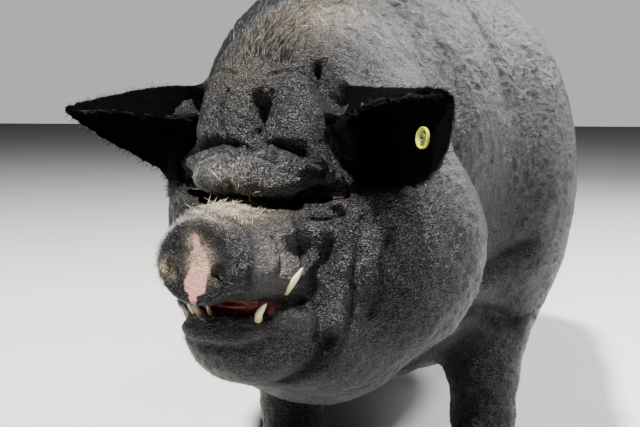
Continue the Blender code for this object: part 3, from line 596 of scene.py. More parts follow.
def primitive(make, **sizes):
    bm = bmesh.new()
    make(bm, **sizes)
    mesh = bpy.data.meshes.new("primitive")
    bm.to_mesh(mesh)
    bm.free()
    found = pointsOf(mesh), trianglesOf(mesh)
    bpy.data.meshes.remove(mesh)
    return found


def placed(shape, matrix):
    points, triangles = shape
    matrix = np.array(matrix)
    return points @ matrix[:3, :3].T + matrix[:3, 3], triangles


def roughMesh():
    ball = primitive(bmesh.ops.create_uvsphere, u_segments=32, v_segments=20, radius=1)
    parts = [placed(ball, matrix @ Matrix.Diagonal((*radii, 1))) for matrix, radii, _ in fleshMasses]
    size = (snoutDisc["radii"][0], snoutDisc["half"], snoutDisc["radii"][1], 1)
    parts.append(placed(ball, headFrame @ Matrix.Translation(snoutDisc["centre"]) @ Matrix.Diagonal(size)))
    for stations, _ in fleshLimbs:
        for (start, startRadius), (end, endRadius) in zip(stations, stations[1:]):
            turn = (end - start).to_track_quat("Z", "Y").to_matrix().to_4x4()
            cone = primitive(bmesh.ops.create_cone, cap_ends=True, segments=24, radius1=startRadius,
                             radius2=endRadius, depth=(end - start).length)
            parts.append(placed(cone, Matrix.Translation((start + end) / 2) @ turn))
            for point, radius in ((start, startRadius), (end, endRadius)):
                parts.append(placed(ball, Matrix.Translation(point) @ Matrix.Scale(radius, 4)))
    for side in (1, -1):
        sheet = earSheet(side)
        parts.append((pointsOf(sheet), trianglesOf(sheet)))
    return meshFromArrays("rough", *joinMeshes(parts))


def earSheet(side, steps=40):
    bm = bmesh.new()
    place = earFrame(side)
    length = (ear["tip"][side] - ear["root"][side]).length
    rows = []
    for k in range(steps + 1):
        u = ear["profile"][side][0][0] + k / steps * (1 - ear["profile"][side][0][0])
        section = curveThrough([(0, y, z) for y, z in earSection(u, side)], 3)
        rows.append([bm.verts.new(place @ Vector((u * length, p.y, p.z))) for p in section])
    for row, after in zip(rows, rows[1:]):
        for k in range(len(row) - 1):
            bm.faces.new((row[k], row[k + 1], after[k + 1], after[k]))
    bmesh.ops.recalc_face_normals(bm, faces=bm.faces)
    mesh = bpy.data.meshes.new("earSheet")
    bm.to_mesh(mesh)
    bm.free()
    sheet = bpy.data.objects.new("earSheet", mesh)
    bpy.context.scene.collection.objects.link(sheet)
    solidify = sheet.modifiers.new("thickness", "SOLIDIFY")
    solidify.thickness = ear["thick"]
    solidify.offset = 0
    applyModifiers(sheet)
    mesh = sheet.data
    bpy.data.objects.remove(sheet)
    return mesh


def swell(points, power):
    # Draws the far parts in and spreads the face out, so that the face gets the finer mesh
    centre = headPoint((0, 0.050, -0.040))
    away = points - centre
    return centre + away * np.linalg.norm(away, axis=1)[:, None] ** (power - 1)


def relax(points, edges, rounds):
    count = np.bincount(edges.ravel(), minlength=len(points))[:, None]
    for _ in range(rounds):
        total = np.zeros_like(points)
        for axis in range(3):
            total[:, axis] = (np.bincount(edges[:, 0], points[edges[:, 1], axis], len(points))
                              + np.bincount(edges[:, 1], points[edges[:, 0], axis], len(points)))
        points = points + 0.5 * (total / count - points)
    return points


def edgesOf(triangles):
    return triangles[:, [0, 1, 1, 2, 2, 0]].reshape(-1, 2)


def largestBody(points, triangles):
    # Drops the loose crumbs that a remesh leaves: labels spread along edges until they settle
    label = np.arange(len(points))
    while True:
        low = label[triangles].min(axis=1)
        after = label.copy()
        for k in range(3):
            np.minimum.at(after, triangles[:, k], low)
        after = after[after]
        if (after == label).all():
            break
        label = after
    keep = label == np.bincount(label).argmax()
    number = np.cumsum(keep) - 1
    return points[keep], number[triangles[keep[triangles[:, 0]]]]


def refine(points, triangles, longest):
    # Halves every edge longer than its place allows, and the triangles beside it
    ends = np.stack([triangles, np.roll(triangles, -1, axis=1)], axis=2).reshape(-1, 2)
    ends.sort(axis=1)
    _, first, edge = np.unique(ends @ (1, len(points)), return_index=True, return_inverse=True)
    a, b = points[ends[first, 0]], points[ends[first, 1]]
    middle = (a + b) / 2
    split = lengthOf(b - a) > longest(middle)
    number = np.where(split, len(points) + np.cumsum(split) - 1, -1)
    halves = number[edge].reshape(-1, 3)
    count = (halves >= 0).sum(axis=1)
    turned = np.where(count == 1, (halves >= 0).argmax(axis=1), ((halves < 0).argmax(axis=1) + 1) % 3)
    order = (turned[:, None] + np.arange(3)) % 3
    a, b, c = np.take_along_axis(triangles, order, axis=1).T
    ab, bc, ca = np.take_along_axis(halves, order, axis=1).T
    shapes = {0: [(a, b, c)], 1: [(a, ab, c), (ab, b, c)],
              2: [(ab, b, bc), (a, ab, bc), (a, bc, c)],
              3: [(a, ab, ca), (ab, b, bc), (ca, bc, c), (ab, bc, ca)]}
    made = [np.stack(corners, axis=1)[count == k] for k, shape in shapes.items() for corners in shape]
    return np.concatenate([points, middle[split]]), np.concatenate(made)


def faceEdges(points):
    # The longest edge allowed: short on the face, any length on the body
    fromFace = lengthOf(points - headPoint((0, -0.045, -0.045)))
    edge = skinMesh["faceEdge"] * 1
    return edge * (1 + 1.2 * smoothStep(fromFace, 0.09, 0.17) + 40 * smoothStep(fromFace, 0.20, 0.26))


def makeSkin():
    mesh = roughMesh()
    movePoints(mesh, swell(pointsOf(mesh), skinMesh["swell"]))
    clay = bpy.data.objects.new("clay", mesh)
    bpy.context.scene.collection.objects.link(clay)
    remesh = clay.modifiers.new("join", "REMESH")
    remesh.mode = "VOXEL"
    remesh.voxel_size = skinMesh["voxel"] * 1
    applyModifiers(clay)
    mesh = clay.data
    points = swell(pointsOf(mesh), 1 / skinMesh["swell"])
    triangles = trianglesOf(mesh)
    bpy.data.objects.remove(clay)
    points = drawOntoForm(points, 3)
    points = drawOntoForm(relax(points, edgesOf(triangles), 3), 2)
    for _ in range(3):
        points, triangles = refine(points, triangles, faceEdges)
    edges = edgesOf(triangles)
    points = drawOntoForm(relax(points, edges, 3), 2)
    points = drawOntoForm(relax(points, edges, 2), 1)
    points, triangles = largestBody(points, triangles)
    skin = meshFromArrays("skin", points, triangles)
    points = foldSkin(points, relax(normalsOf(skin), edgesOf(triangles), 14))
    movePoints(skin, points)
    fromHead = lengthOf(points - headPoint((0, -0.040, -0.030)))
    onBody = smoothStep(fromHead, 0.14, 0.26)
    height = skinMesh["ripple"] * ripples(points)
    height += skinMesh["faceWrinkle"] * (1 - onBody) * creasing(points, 41, 0.004, 0.012)
    height += skinMesh["bodyWrinkle"] * onBody * creasing(points, 51, 0.011, 0.030)
    movePoints(skin, points + height[:, None] * normalsOf(skin))
    skin.shade_smooth()
    return skin


# Markings and painted shade, the same for skin and coat: 0 where there is none of it, and 1 or more where it
# is full. The ears' hollows and the folds carry painted shade
def headCoords(points):
    inverse = np.array(headFrame.inverted())
    return points @ inverse[:3, :3].T + inverse[:3, 3]


def spot(local, centre, radii):
    return np.exp(-(((local - np.array(centre)) / np.array(radii)) ** 2).sum(axis=1))


dustSpots = {  # centre and radii in the head's frame, and strength
    "poll": ((0.025, 0.035, 0.170), (0.045, 0.075, 0.036), 0.32),
    "crown": ((-0.010, -0.005, 0.125), (0.036, 0.050, 0.030), 0.14),
    "brow": ((0.004, -0.056, 0.012), (0.016, 0.030, 0.012), 0.32),
    "bridge": ((0.012, -0.072, -0.010), (0.046, 0.028, 0.014), 0.60),
    "discTop": ((0.006, -0.108, -0.056), (0.012, 0.020, 0.013), 1.7),
    "discHigh": ((-0.002, -0.106, -0.038), (0.009, 0.016, 0.008), 0.7),
    "nostrilRight": ((-0.030, -0.108, -0.064), (0.009, 0.012, 0.007), 1.0),
}
palePatches = {  # where the bristles are palest
    "browRoll": ((0, -0.045, 0.016), (0.055, 0.030, 0.022), 1.0),
    "lip": ((-0.004, -0.088, -0.114), (0.056, 0.034, 0.009), 1.3),
    "chinSide": ((-0.050, -0.055, -0.130), (0.025, 0.030, 0.022), 0.7),
    "discRim": ((-0.040, -0.100, -0.050), (0.022, 0.030, 0.040), 0.8),
    "bridge": ((0.005, -0.066, -0.010), (0.048, 0.030, 0.016), 0.9),
    # Beside the snout: pale hair of the puff there, and painted light over a pit that lies in shade
    "paleAndLitBesideSnout": ((0.075, -0.036, -0.034), (0.016, 0.022, 0.014), 1.0),
    "forehead": ((0, -0.020, 0.110), (0.070, 0.040, 0.050), 0.12),
}
sleekLips = ((0, -0.072, -0.116), (0.070, 0.050, 0.012))
# The snout's bare sides: their lighter grey on the hide is partly painted light
sleekSnout = ((0.052, -0.064, -0.056), (0.026, 0.026, 0.030))  # on each side
markSizes = {"lid": (0.017, 0.014, 0.0095), "nostril": (0.0085, 0.016, 0.011)}
pinkPatch = {  # by height in the head's frame: the patch's half width, and how far left its middle is
    "half": [(-0.086, 0.004), (-0.082, 0.0130), (-0.070, 0.0145), (-0.058, 0.0115), (-0.044, 0.0060),
             (-0.034, 0.0020), (-0.030, -0.004)],
    "middle": [(-0.086, 0.001), (-0.070, 0.004), (-0.054, 0.008), (-0.040, 0.003), (-0.026, -0.004)],
}


def earHollowShade(points, normals):
    # Painted shade: 1 on the side of each ear that faces its hollow, where the ear's shadow falls
    found = np.zeros(len(points))
    for side in (1, -1):
        place = earFrame(side)
        local, _, beyond = earPlace(points, side)
        facing = normals @ np.array(place.to_3x3())[:, 1]
        near = smoothStep(local[:, 0], -0.004, 0.022) * (np.abs(local[:, 1]) < 0.050)
        near = near * smoothStep(local[:, 2], -0.085, -0.060) * (local[:, 2] < 0.035) * (beyond < 0.01)
        found = np.maximum(found, near * smoothStep(-facing, 0.05, 0.45))
    return found


def marksAndShade(points, normals):
    local = headCoords(points)
    x, y, z = local.T
    dust = np.zeros(len(points))
    for centre, radii, strength in dustSpots.values():
        dust = np.maximum(dust, strength * spot(local, centre, radii))
    pale = np.zeros(len(points))
    for centre, radii, strength in palePatches.values():
        pale = np.maximum(pale, strength * spot(local, centre, radii))
    half = np.interp(z, *zip(*pinkPatch["half"]))
    middle = np.interp(z, *zip(*pinkPatch["middle"]))
    wobble = 0.0016 * ripples(points, 5, 16) + 0.0016 * ripples(points * 2.2, 6, 16)
    pink = smoothStep(half - np.abs(x - middle) + wobble, -0.001, 0.0025) * (y < -0.090) * (z > -0.094)
    pink = pink * (1 - smoothStep(x, 0.0160, 0.0190))
    gape = ellipsoidField(points, headFrame @ Matrix.Translation(mouth["centre"]), mouth["radii"])
    inMouth = 1 - smoothStep(gape, 0.0005, 0.0035)
    onDisc = smoothStep(-discFieldFront(local), 0, 0.005)
    lids = np.zeros(len(points))
    holes = np.zeros(len(points))
    sleek = spot(local, *sleekLips)
    (sleekX, *sleekRest), sleekRadii = sleekSnout
    for side in (1, -1):
        sleek = np.maximum(sleek, spot(local, (sleekX * side, *sleekRest), sleekRadii))
        front = eyeInHead + Vector((0.002, -eyeball["radius"], -0.001))
        place = np.array((front.x * side, front.y, front.z))
        lids = np.maximum(lids, spot(local, place, markSizes["lid"]))
        place = np.array((nostril["place"].x * side, nostril["place"].y, nostril["place"].z))
        holes = np.maximum(holes, spot(local, place, markSizes["nostril"]))
    return {"dust": dust, "pink": pink, "mouth": inMouth, "disc": onDisc, "lid": lids,
            "pale": pale, "hole": holes, "hollow": earHollowShade(points, normals),
            "groove": foldShade(points), "smooth": sleek}


def discFieldFront(local):
    # Below zero on the front of the nose's plate
    flat = np.hypot((local[:, 0] - 0.002) / snoutDisc["radii"][0],
                    (local[:, 2] - snoutDisc["centre"].z) / snoutDisc["radii"][1])
    return np.maximum((flat - 0.93) * 0.04, (local[:, 1] + 0.099))


# The coat
coat = {
    "face": {"count": 105000, "length": (0.0022, 0.0048), "width": 0.00030, "lift": 0.24},
    "neck": {"count": 60000, "length": (0.0045, 0.0090), "width": 0.00040, "lift": 0.15},
    "body": {"count": 60000, "length": (0.0065, 0.0130), "width": 0.00050, "lift": 0.12},
}


def lieOfCoat(points, normals):
    # Back from the nose over the face, then back and down along the body, and down the legs
    local = headCoords(points)
    fromNose = local - np.array((0, -0.120, -0.050))
    fromNose = fromNose / np.linalg.norm(fromNose, axis=1)[:, None]
    turn = np.array(headRotation.to_3x3())
    onHead = fromNose @ turn.T
    side = np.sign(points[:, 0] - bodyFrame.translation.x) * np.abs(normals[:, 0])
    onBody = np.stack([0.25 * side, np.full(len(points), 1.0), -0.55 * np.abs(side)], axis=1)
    onLeg = np.tile((0.0, 0.15, -1.0), (len(points), 1))
    share = smoothStep(lengthOf(points - np.array(headPlace)), 0.18, 0.32)[:, None]
    low = 1 - smoothStep(points[:, 2], 0.15, 0.26)[:, None] * (share > 0)
    way = onHead * (1 - share) + onBody * share
    way = way * (1 - low * share) + onLeg * low * share
    way = way - (way * normals).sum(axis=1)[:, None] * normals
    return way / np.maximum(np.linalg.norm(way, axis=1), 1e-6)[:, None]


def unwrapSkin(points, normals):
    # Six sides of the piece's own shape, each in its own cell of the map
    low, high = points.min(axis=0), points.max(axis=0)
    share = (points - low) / (high - low)
    side = np.abs(normals).argmax(axis=1)
    facing = np.take_along_axis(normals, side[:, None], axis=1)[:, 0] > 0
    others = np.array([(1, 2), (0, 2), (0, 1)])[side]
    across = np.take_along_axis(share, others[:, :1], axis=1)[:, 0]
    up = np.take_along_axis(share, others[:, 1:], axis=1)[:, 0]
    return np.stack([(side + 0.02 + 0.94 * across) / 3, (facing + 0.02 + 0.94 * up) / 2], axis=1)


def coatGround(skin):
    # The skin's triangles, each with its middle, its normal and how many bristles it carries
    points, triangles = pointsOf(skin), trianglesOf(skin)
    a, b, c = (points[triangles[:, k]] for k in range(3))
    cross = np.cross(b - a, c - a)
    area = np.maximum(lengthOf(cross), 1e-12)
    middle, facing = (a + b + c) / 3, cross / area[:, None]
    weight = area * openSkin(middle, facing) * (middle[:, 2] > 0.035)
    return {"points": points, "triangles": triangles, "normals": normalsOf(skin), "middle": middle,
            "facing": facing, "weight": weight}


def sampleRoots(ground, count, weigh, seed):
    # Random roots over the skin, as points and normals, with a density of their own
    dice = np.random.default_rng(seed)
    weight = ground["weight"] * weigh(ground["middle"], ground["facing"])
    chosen = ground["triangles"][dice.choice(len(weight), size=count, p=weight / weight.sum())]
    s, t = dice.random(count), dice.random(count)
    over = s + t > 1
    s[over], t[over] = 1 - s[over], 1 - t[over]
    shares = np.stack([1 - s - t, s, t], axis=1)
    at = np.einsum("ij,ijk->ik", shares, ground["points"][chosen])
    normal = np.einsum("ij,ijk->ik", shares, ground["normals"][chosen])
    return at, normal / np.maximum(lengthOf(normal), 1e-9)[:, None], dice


def spikes(name, roots, normals, ways, lengths, widths, lift, shade, material, bend=0.0, dusty=0.0):
    # One closed spike for each root: three corners at the root, with a bent middle if asked, and a tip
    count = len(roots)
    across = np.cross(normals, ways)
    direction = ways + lift[:, None] * normals
    direction /= np.linalg.norm(direction, axis=1)[:, None]
    base = roots - 0.0006 * normals
    half = widths[:, None] / 2
    ring = [across, -0.5 * across + 0.8 * normals, -0.5 * across - 0.8 * normals]
    corners = [base + half * r for r in ring]
    if bend:
        middle = base + direction * lengths[:, None] * 0.5
        corners += [middle + half * 0.8 * r for r in ring]
        direction = direction * (1 - bend) + bend * (ways - 0.6 * np.array((0, 0, 1)))
        direction /= np.linalg.norm(direction, axis=1)[:, None]
        corners.append(middle + direction * lengths[:, None] * 0.5)
        pattern = np.array([(0, 2, 1), (0, 1, 4), (0, 4, 3), (1, 2, 5), (1, 5, 4), (2, 0, 3),
                            (2, 3, 5), (3, 4, 6), (4, 5, 6), (5, 3, 6)])
    else:
        corners.append(base + direction * lengths[:, None])
        pattern = np.array([(0, 2, 1), (0, 1, 3), (1, 2, 3), (2, 0, 3)])
    size = len(corners)
    points = np.stack(corners, axis=1).reshape(-1, 3)
    triangles = (np.arange(count)[:, None, None] * size + pattern).reshape(-1, 3)
    mesh = meshFromArrays(name, points, triangles)
    patch = 0.003
    offsets = np.array([(0, 0), (1, 0), (0, 1), (0.3, 0.5), (1, 0.5), (0.3, 1), (1, 1)]) * patch
    offsets = offsets if bend else offsets[[0, 1, 2, 6]]
    uv = (unwrapSkin(roots, normals)[:, None, :] + offsets[None]).reshape(-1, 2)
    layer = mesh.uv_layers.new(name="OFBake")
    layer.data.foreach_set("uv", uv[triangles.ravel()].astype(np.float32).ravel())
    marks = marksAndShade(roots, normals)
    marks["dust"] = np.maximum(marks["dust"], dusty)
    for key in ("dust", "pink", "pale", "hollow", "groove", "disc"):
        setAttribute(mesh, key, np.repeat(marks[key], size))
    setAttribute(mesh, "shade", np.repeat(shade, size))
    tip = np.array([0, 0, 0, 0.5, 0.5, 0.5, 1] if bend else [0, 0, 0, 1])
    setAttribute(mesh, "tip", np.tile(tip, count))
    mesh.shade_smooth()
    return makePiece(name, mesh, material)


def openSkin(points, normals):
    # How thickly bristles grow: not in the mouth, the nostrils or between the lids
    marks = marksAndShade(points, normals)
    bare = (marks["mouth"] > 0.3) | (marks["hole"] > 0.45) | (marks["lid"] > 0.60)
    thick = (1 + 1.2 * marks["pale"]) * (1 - 0.75 * marks["disc"]) * (1 - 0.6 * marks["pink"])
    thick *= 1 - 0.72 * marks["smooth"]
    return thick * (1 - 0.7 * marks["hollow"]) * ~bare


def sideways(ways, normals, stray):
    # Turns each way by its stray, within the skin
    ways = ways + stray
    ways = ways - (ways * normals).sum(axis=1)[:, None] * normals
    return ways / np.maximum(np.linalg.norm(ways, axis=1), 1e-6)[:, None]


def whorls(points):
    # A slow wandering of the coat's lie, so that it falls in clumps
    return np.stack([ripples(points * 0.8, seed, 14) for seed in (21, 22, 23)], axis=1)


def makeCoat(skin, material):
    ground = coatGround(skin)
    beyondFace = lambda p: smoothStep(lengthOf(p - np.array(headPlace)), 0.17, 0.24)
    alongBody = lambda p: smoothStep(p[:, 1], -0.24, -0.12)
    zones = {
        "face": lambda p, n: 1 - beyondFace(p),
        "neck": lambda p, n: beyondFace(p) * (1 - alongBody(p)),
        "body": lambda p, n: beyondFace(p) * alongBody(p),
    }
    for k, (zone, weigh) in enumerate(zones.items()):
        facts = coat[zone]
        count = facts["count"] // 1
        roots, normals, dice = sampleRoots(ground, count, weigh, 100 + k)
        marks = marksAndShade(roots, normals)
        ways = sideways(lieOfCoat(roots, normals), normals,
                        dice.normal(0, 0.28, (count, 3)) + 0.30 * whorls(roots))
        short, long = facts["length"]
        lengths = dice.uniform(short, long, count) * (1 - 0.35 * marks["disc"]) * (1 - 0.5 * marks["smooth"])
        lengths *= 1 - 0.5 * (1 - smoothStep(roots[:, 2], 0.05, 0.18))
        widths = facts["width"] * dice.uniform(0.7, 1.15, count)
        lift = np.clip(facts["lift"] * dice.uniform(0.4, 1.8, count) + 0.30 * marks["pale"], 0, 1.8)
        shade = np.clip(dice.beta(1.6, 1.6, count) + 0.10 * ripples(roots, 31, 16), 0, 1)
        order = np.argsort(roots[:, 0] if zone != "body" else roots[:, 1], kind="stable")
        for j, chosen in enumerate(np.array_split(order, math.ceil(count / 49000))):
            spikes(f"coat_{zone}_{j + 1}", roots[chosen], normals[chosen], ways[chosen],
                   lengths[chosen], widths[chosen], lift[chosen], shade[chosen], material)
    for k, (name, facts) in enumerate(tufts.items()):
        roots, normals, dice = sampleRoots(ground, facts["count"], facts["where"], 200 + k)
        count = len(roots)
        ways = sideways(lieOfCoat(roots, normals), normals, dice.normal(0, facts["stray"], (count, 3)))
        spikes(f"coat_{name}", roots, normals, ways, dice.uniform(*facts["length"], count),
               facts["width"] * dice.uniform(0.7, 1.2, count), facts["lift"] * dice.uniform(0.5, 1.5, count),
               np.clip(dice.uniform(*facts["shade"], count), 0, 1), material, facts["bend"], facts["dusty"])


def onMane(points, normals):
    # Along the middle of the neck's crest and the back
    crestLine = ((-0.55, -0.30, 0.10), (-0.05, 0.0, bodyFrame.translation.x))
    across = points[:, 0] - np.interp(points[:, 1], *crestLine)
    return np.exp(-(across / 0.030) ** 2) * (normals[:, 2] > 0.45) * smoothStep(points[:, 2], 0.42, 0.50)


def onTailEnd(points, normals):
    low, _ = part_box("tail")
    return (points[:, 1] > low.y + 0.012) * (1 - smoothStep(points[:, 2], low.z + 0.03, low.z + 0.14))


def onMuzzle(points, normals):
    # The rim of the nose's plate, the lips and the chin
    local = headCoords(points)
    rim = spot(local, (0, -0.100, -0.050), (0.075, 0.020, 0.050))
    rim *= (local[:, 1] > -0.109) * (local[:, 2] > -0.080)
    wide, high = snoutDisc["radii"]
    rim *= np.hypot(local[:, 0] / wide, (local[:, 2] - snoutDisc["centre"].z) / high) > 0.86
    chin = spot(local, (0, -0.080, -0.135), (0.070, 0.045, 0.030))
    return rim * (1 + 2.5 * (local[:, 0] < -0.028)) + 0.30 * chin


def onEarEdge(points, normals):
    # The ears' edges, where the sheet's two sides meet
    found = np.zeros(len(points))
    for side in (1, -1):
        local, _, beyond = earPlace(points, side)
        facing = np.abs(normals @ np.array(earFrame(side).to_3x3())[:, 1])
        inEar = (local[:, 0] > 0.030) * (beyond < 0.02) * (np.abs(local[:, 1]) < 0.045)
        found = np.maximum(found, inEar * (facing < 0.55) * (local[:, 2] > -0.085) * (local[:, 2] < 0.035))
    return found


def onDust(points, normals):
    return marksAndShade(points, normals)["dust"] ** 2


tufts = {
    "whiskers": {"count": 3600, "length": (0.003, 0.009), "width": 0.00036, "lift": 0.9, "stray": 0.45,
                 "shade": (0.6, 1.0), "bend": 0.35, "dusty": 0.0, "where": onMuzzle},
    "mane": {"count": 6500, "length": (0.012, 0.027), "width": 0.00070, "lift": 0.35, "stray": 0.30,
             "shade": (0.0, 0.75), "bend": 0.30, "dusty": 0.0, "where": onMane},
    "tail": {"count": 1500, "length": (0.020, 0.042), "width": 0.00080, "lift": 0.12, "stray": 0.20,
             "shade": (0.0, 0.6), "bend": 0.40, "dusty": 0.0, "where": onTailEnd},
    "ears": {"count": 3000, "length": (0.005, 0.013), "width": 0.00045, "lift": 0.8, "stray": 0.40,
             "shade": (0.3, 1.0), "bend": 0.25, "dusty": 0.0, "where": onEarEdge},
    "straw": {"count": 150, "length": (0.008, 0.024), "width": 0.0012, "lift": 0.10, "stray": 3.0,
              "shade": (0.8, 1.0), "bend": 0.10, "dusty": 6.0, "where": onDust},
    "chaff": {"count": 1500, "length": (0.002, 0.008), "width": 0.00075, "lift": 0.15, "stray": 3.0,
              "shade": (0.4, 1.0), "bend": 0.20, "dusty": 1.0, "where": onDust},
}


# Materials
def newMaterial(name):
    material = bpy.data.materials.new(name)
    material.use_nodes = True
    return material, material.node_tree, material.node_tree.nodes["Principled BSDF"]


def newGroup(name, inputs, outputs):
    tree = bpy.data.node_groups.new(name, "ShaderNodeTree")
    for label, kind, value in inputs:
        socket = tree.interface.new_socket(label, in_out="INPUT", socket_type="NodeSocket" + kind)
        if value is not None:
            socket.default_value = value
    for label, kind in outputs:
        tree.interface.new_socket(label, in_out="OUTPUT", socket_type="NodeSocket" + kind)
    return tree, tree.nodes.new("NodeGroupInput"), tree.nodes.new("NodeGroupOutput")


def mathOf(operation):
    def combine(tree, a, b, clamp=False):
        node = tree.nodes.new("ShaderNodeMath")
        node.operation = operation
        node.use_clamp = clamp
        for socket, value in zip(node.inputs, (a, b)):
            if isinstance(value, (int, float)):
                socket.default_value = value
            else:
                tree.links.new(value, socket)
        return node.outputs[0]
    return combine


times, plus, less, larger = (mathOf(o) for o in ("MULTIPLY", "ADD", "SUBTRACT", "MAXIMUM"))


def without(tree, value):
    return less(tree, 1.0, value, True)


def above(tree, value, start, slope):
    # 0 up to the start, then rising to 1
    return times(tree, less(tree, value, start), slope, True)


def mixColour(tree, share, a, b):
    node = tree.nodes.new("ShaderNodeMix")
    node.data_type = "RGBA"
    for socket, value in ((node.inputs[0], share), (node.inputs[6], a), (node.inputs[7], b)):
        if isinstance(value, tuple):
            socket.default_value = (*value, 1)
        elif isinstance(value, (int, float)):
            socket.default_value = value
        else:
            tree.links.new(value, socket)
    return node.outputs[2]


def attributeOf(tree, name):
    node = tree.nodes.new("ShaderNodeAttribute")
    node.attribute_name = name
    return node.outputs["Fac"]


def placeOf(tree):
    return tree.nodes.new("ShaderNodeTexCoord").outputs["Object"]


def groupIn(tree, group, **sources):
    node = tree.nodes.new("ShaderNodeGroup")
    node.node_tree = group
    for socket, source in sources.items():
        tree.links.new(source, node.inputs[socket])
    return node


def bumpInto(tree, shader, height, distance, strength=1.0):
    bump = tree.nodes.new("ShaderNodeBump")
    bump.inputs["Strength"].default_value = strength
    bump.inputs["Distance"].default_value = distance
    tree.links.new(height, bump.inputs["Height"])
    tree.links.new(bump.outputs[0], shader.inputs["Normal"])


def noiseOf(tree, place, scale, detail=4.0, roughness=0.55, stretch=None):
    if stretch:
        mapping = tree.nodes.new("ShaderNodeMapping")
        mapping.inputs["Scale"].default_value = stretch
        tree.links.new(place, mapping.inputs["Vector"])
        place = mapping.outputs[0]
    node = tree.nodes.new("ShaderNodeTexNoise")
    node.inputs["Scale"].default_value = scale
    node.inputs["Detail"].default_value = detail
    node.inputs["Roughness"].default_value = roughness
    tree.links.new(place, node.inputs["Vector"])
    return node.outputs["Fac"]


# Colours in pairs run from dark to light
stainLook = {"earth": ((0.11, 0.072, 0.034), (0.42, 0.33, 0.19)), "earthScale": 90,
             "flesh": ((0.20, 0.080, 0.064), (0.36, 0.165, 0.135)),
             "grainScale": 480, "grainStart": 0.44, "grainSlope": 6.0}


def makeStainGroup():
    # Dust and the nose's pink patch over any ground colour
    tree, given, result = newGroup("stains", [("Ground", "Color", (0.03, 0.03, 0.03, 1)),
                                              ("Dust", "Float", 0.0), ("Pink", "Float", 0.0),
                                              ("Place", "Vector", None)], [("Color", "Color")])
    place = given.outputs["Place"]
    grain = noiseOf(tree, place, stainLook["grainScale"], 3, 0.75)
    broken = above(tree, grain, stainLook["grainStart"], stainLook["grainSlope"])
    broken = times(tree, given.outputs["Dust"], broken, True)
    earth = mixColour(tree, noiseOf(tree, place, stainLook["earthScale"]), *stainLook["earth"])
    flesh = mixColour(tree, grain, *stainLook["flesh"])
    colour = mixColour(tree, given.outputs["Pink"], given.outputs["Ground"], flesh)
    tree.links.new(mixColour(tree, broken, colour, earth), result.inputs["Color"])
    return tree


# Creases between small cells, low folds and pores: each one's scale, and its share of the height
reliefLook = {"cellScale": 380, "cellStretch": (1.0, 0.6, 1.5), "cellTurn": (0.5, 0.2, 0.6),
              "warpScale": 60, "warp": 0.006, "foldScale": 75, "foldStretch": (1.0, 0.5, 1.7),
              "poreScale": 420, "speckScale": 640, "speckStretch": (1.0, 0.5, 1.6),
              "cellShare": 0.14, "foldShare": 1.2, "poreShare": 0.55}


def makeWrinkleGroup():
    # The fine relief as a height, and how much of a ridge each place is, which is where it shines: the hide
    # and the bristles also take it as a painted highlight on ridges and glinting specks and painted shade in
    # the creases
    tree, given, result = newGroup("wrinkles", [("Place", "Vector", None)],
                                   [("Height", "Float"), ("Ridge", "Float")])
    place, look = given.outputs["Place"], reliefLook
    scaled = tree.nodes.new("ShaderNodeVectorMath")
    scaled.operation = "SCALE"
    scaled.inputs["Scale"].default_value = look["warp"]
    tree.links.new(noiseOf(tree, place, look["warpScale"], 2), scaled.inputs[0])
    bend = tree.nodes.new("ShaderNodeVectorMath")
    bend.operation = "ADD"
    tree.links.new(place, bend.inputs[0])
    tree.links.new(scaled.outputs[0], bend.inputs[1])
    stretched = tree.nodes.new("ShaderNodeMapping")
    stretched.inputs["Scale"].default_value = look["cellStretch"]
    stretched.inputs["Rotation"].default_value = look["cellTurn"]
    tree.links.new(bend.outputs[0], stretched.inputs["Vector"])
    cells = tree.nodes.new("ShaderNodeTexVoronoi")
    cells.feature = "DISTANCE_TO_EDGE"
    cells.inputs["Scale"].default_value = look["cellScale"]
    tree.links.new(stretched.outputs[0], cells.inputs["Vector"])
    creased = times(tree, cells.outputs["Distance"], 3.0, True)
    folds = noiseOf(tree, place, look["foldScale"], 6, 0.68, look["foldStretch"])
    pores = noiseOf(tree, place, look["poreScale"], 3, 0.65)
    uneven = plus(tree, times(tree, folds, look["foldShare"]), times(tree, pores, look["poreShare"]))
    tree.links.new(plus(tree, times(tree, creased, look["cellShare"]), uneven), result.inputs["Height"])
    glintSpeck = above(tree, noiseOf(tree, place, look["speckScale"], 2, 0.6, look["speckStretch"]), 0.46, 7.5)
    ridgeGlint = times(tree, glintSpeck, plus(tree, times(tree, creased, 0.6), 0.4))
    ridgeGlint = times(tree, ridgeGlint, plus(tree, times(tree, above(tree, folds, 0.30, 2.6), 0.55), 0.45))
    tree.links.new(ridgeGlint, result.inputs["Ridge"])
    return tree


def shadedBy(tree, look):
    # Painted shade: 1 in the ears' hollows, and less down in the folds and on the nose's downturned plate
    folded = times(tree, attributeOf(tree, "groove"), look["shadeInFolds"])
    shaded = larger(tree, attributeOf(tree, "hollow"), folded)
    return larger(tree, shaded, times(tree, attributeOf(tree, "disc"), look["shadeOnPlate"]))


# creased runs from painted shade in the creases to a painted highlight on the ridges; shaded is painted
# shade
hideLook = {"creased": ((0.0018, 0.0018, 0.0020), (0.036, 0.036, 0.038)), "lid": (0.012, 0.009, 0.010),
            "sleek": (0.070, 0.065, 0.066), "sleekShare": 0.6, "shaded": (0.0020, 0.0020, 0.0022),
            "mouth": ((0.085, 0.010, 0.010), (0.30, 0.070, 0.065)), "shadeInFolds": 0.85, "shadeOnPlate": 0.42,
            "leastSheen": 0.10, "specular": 0.55, "bumpDepth": 0.0045, "bumpStrength": 0.95}


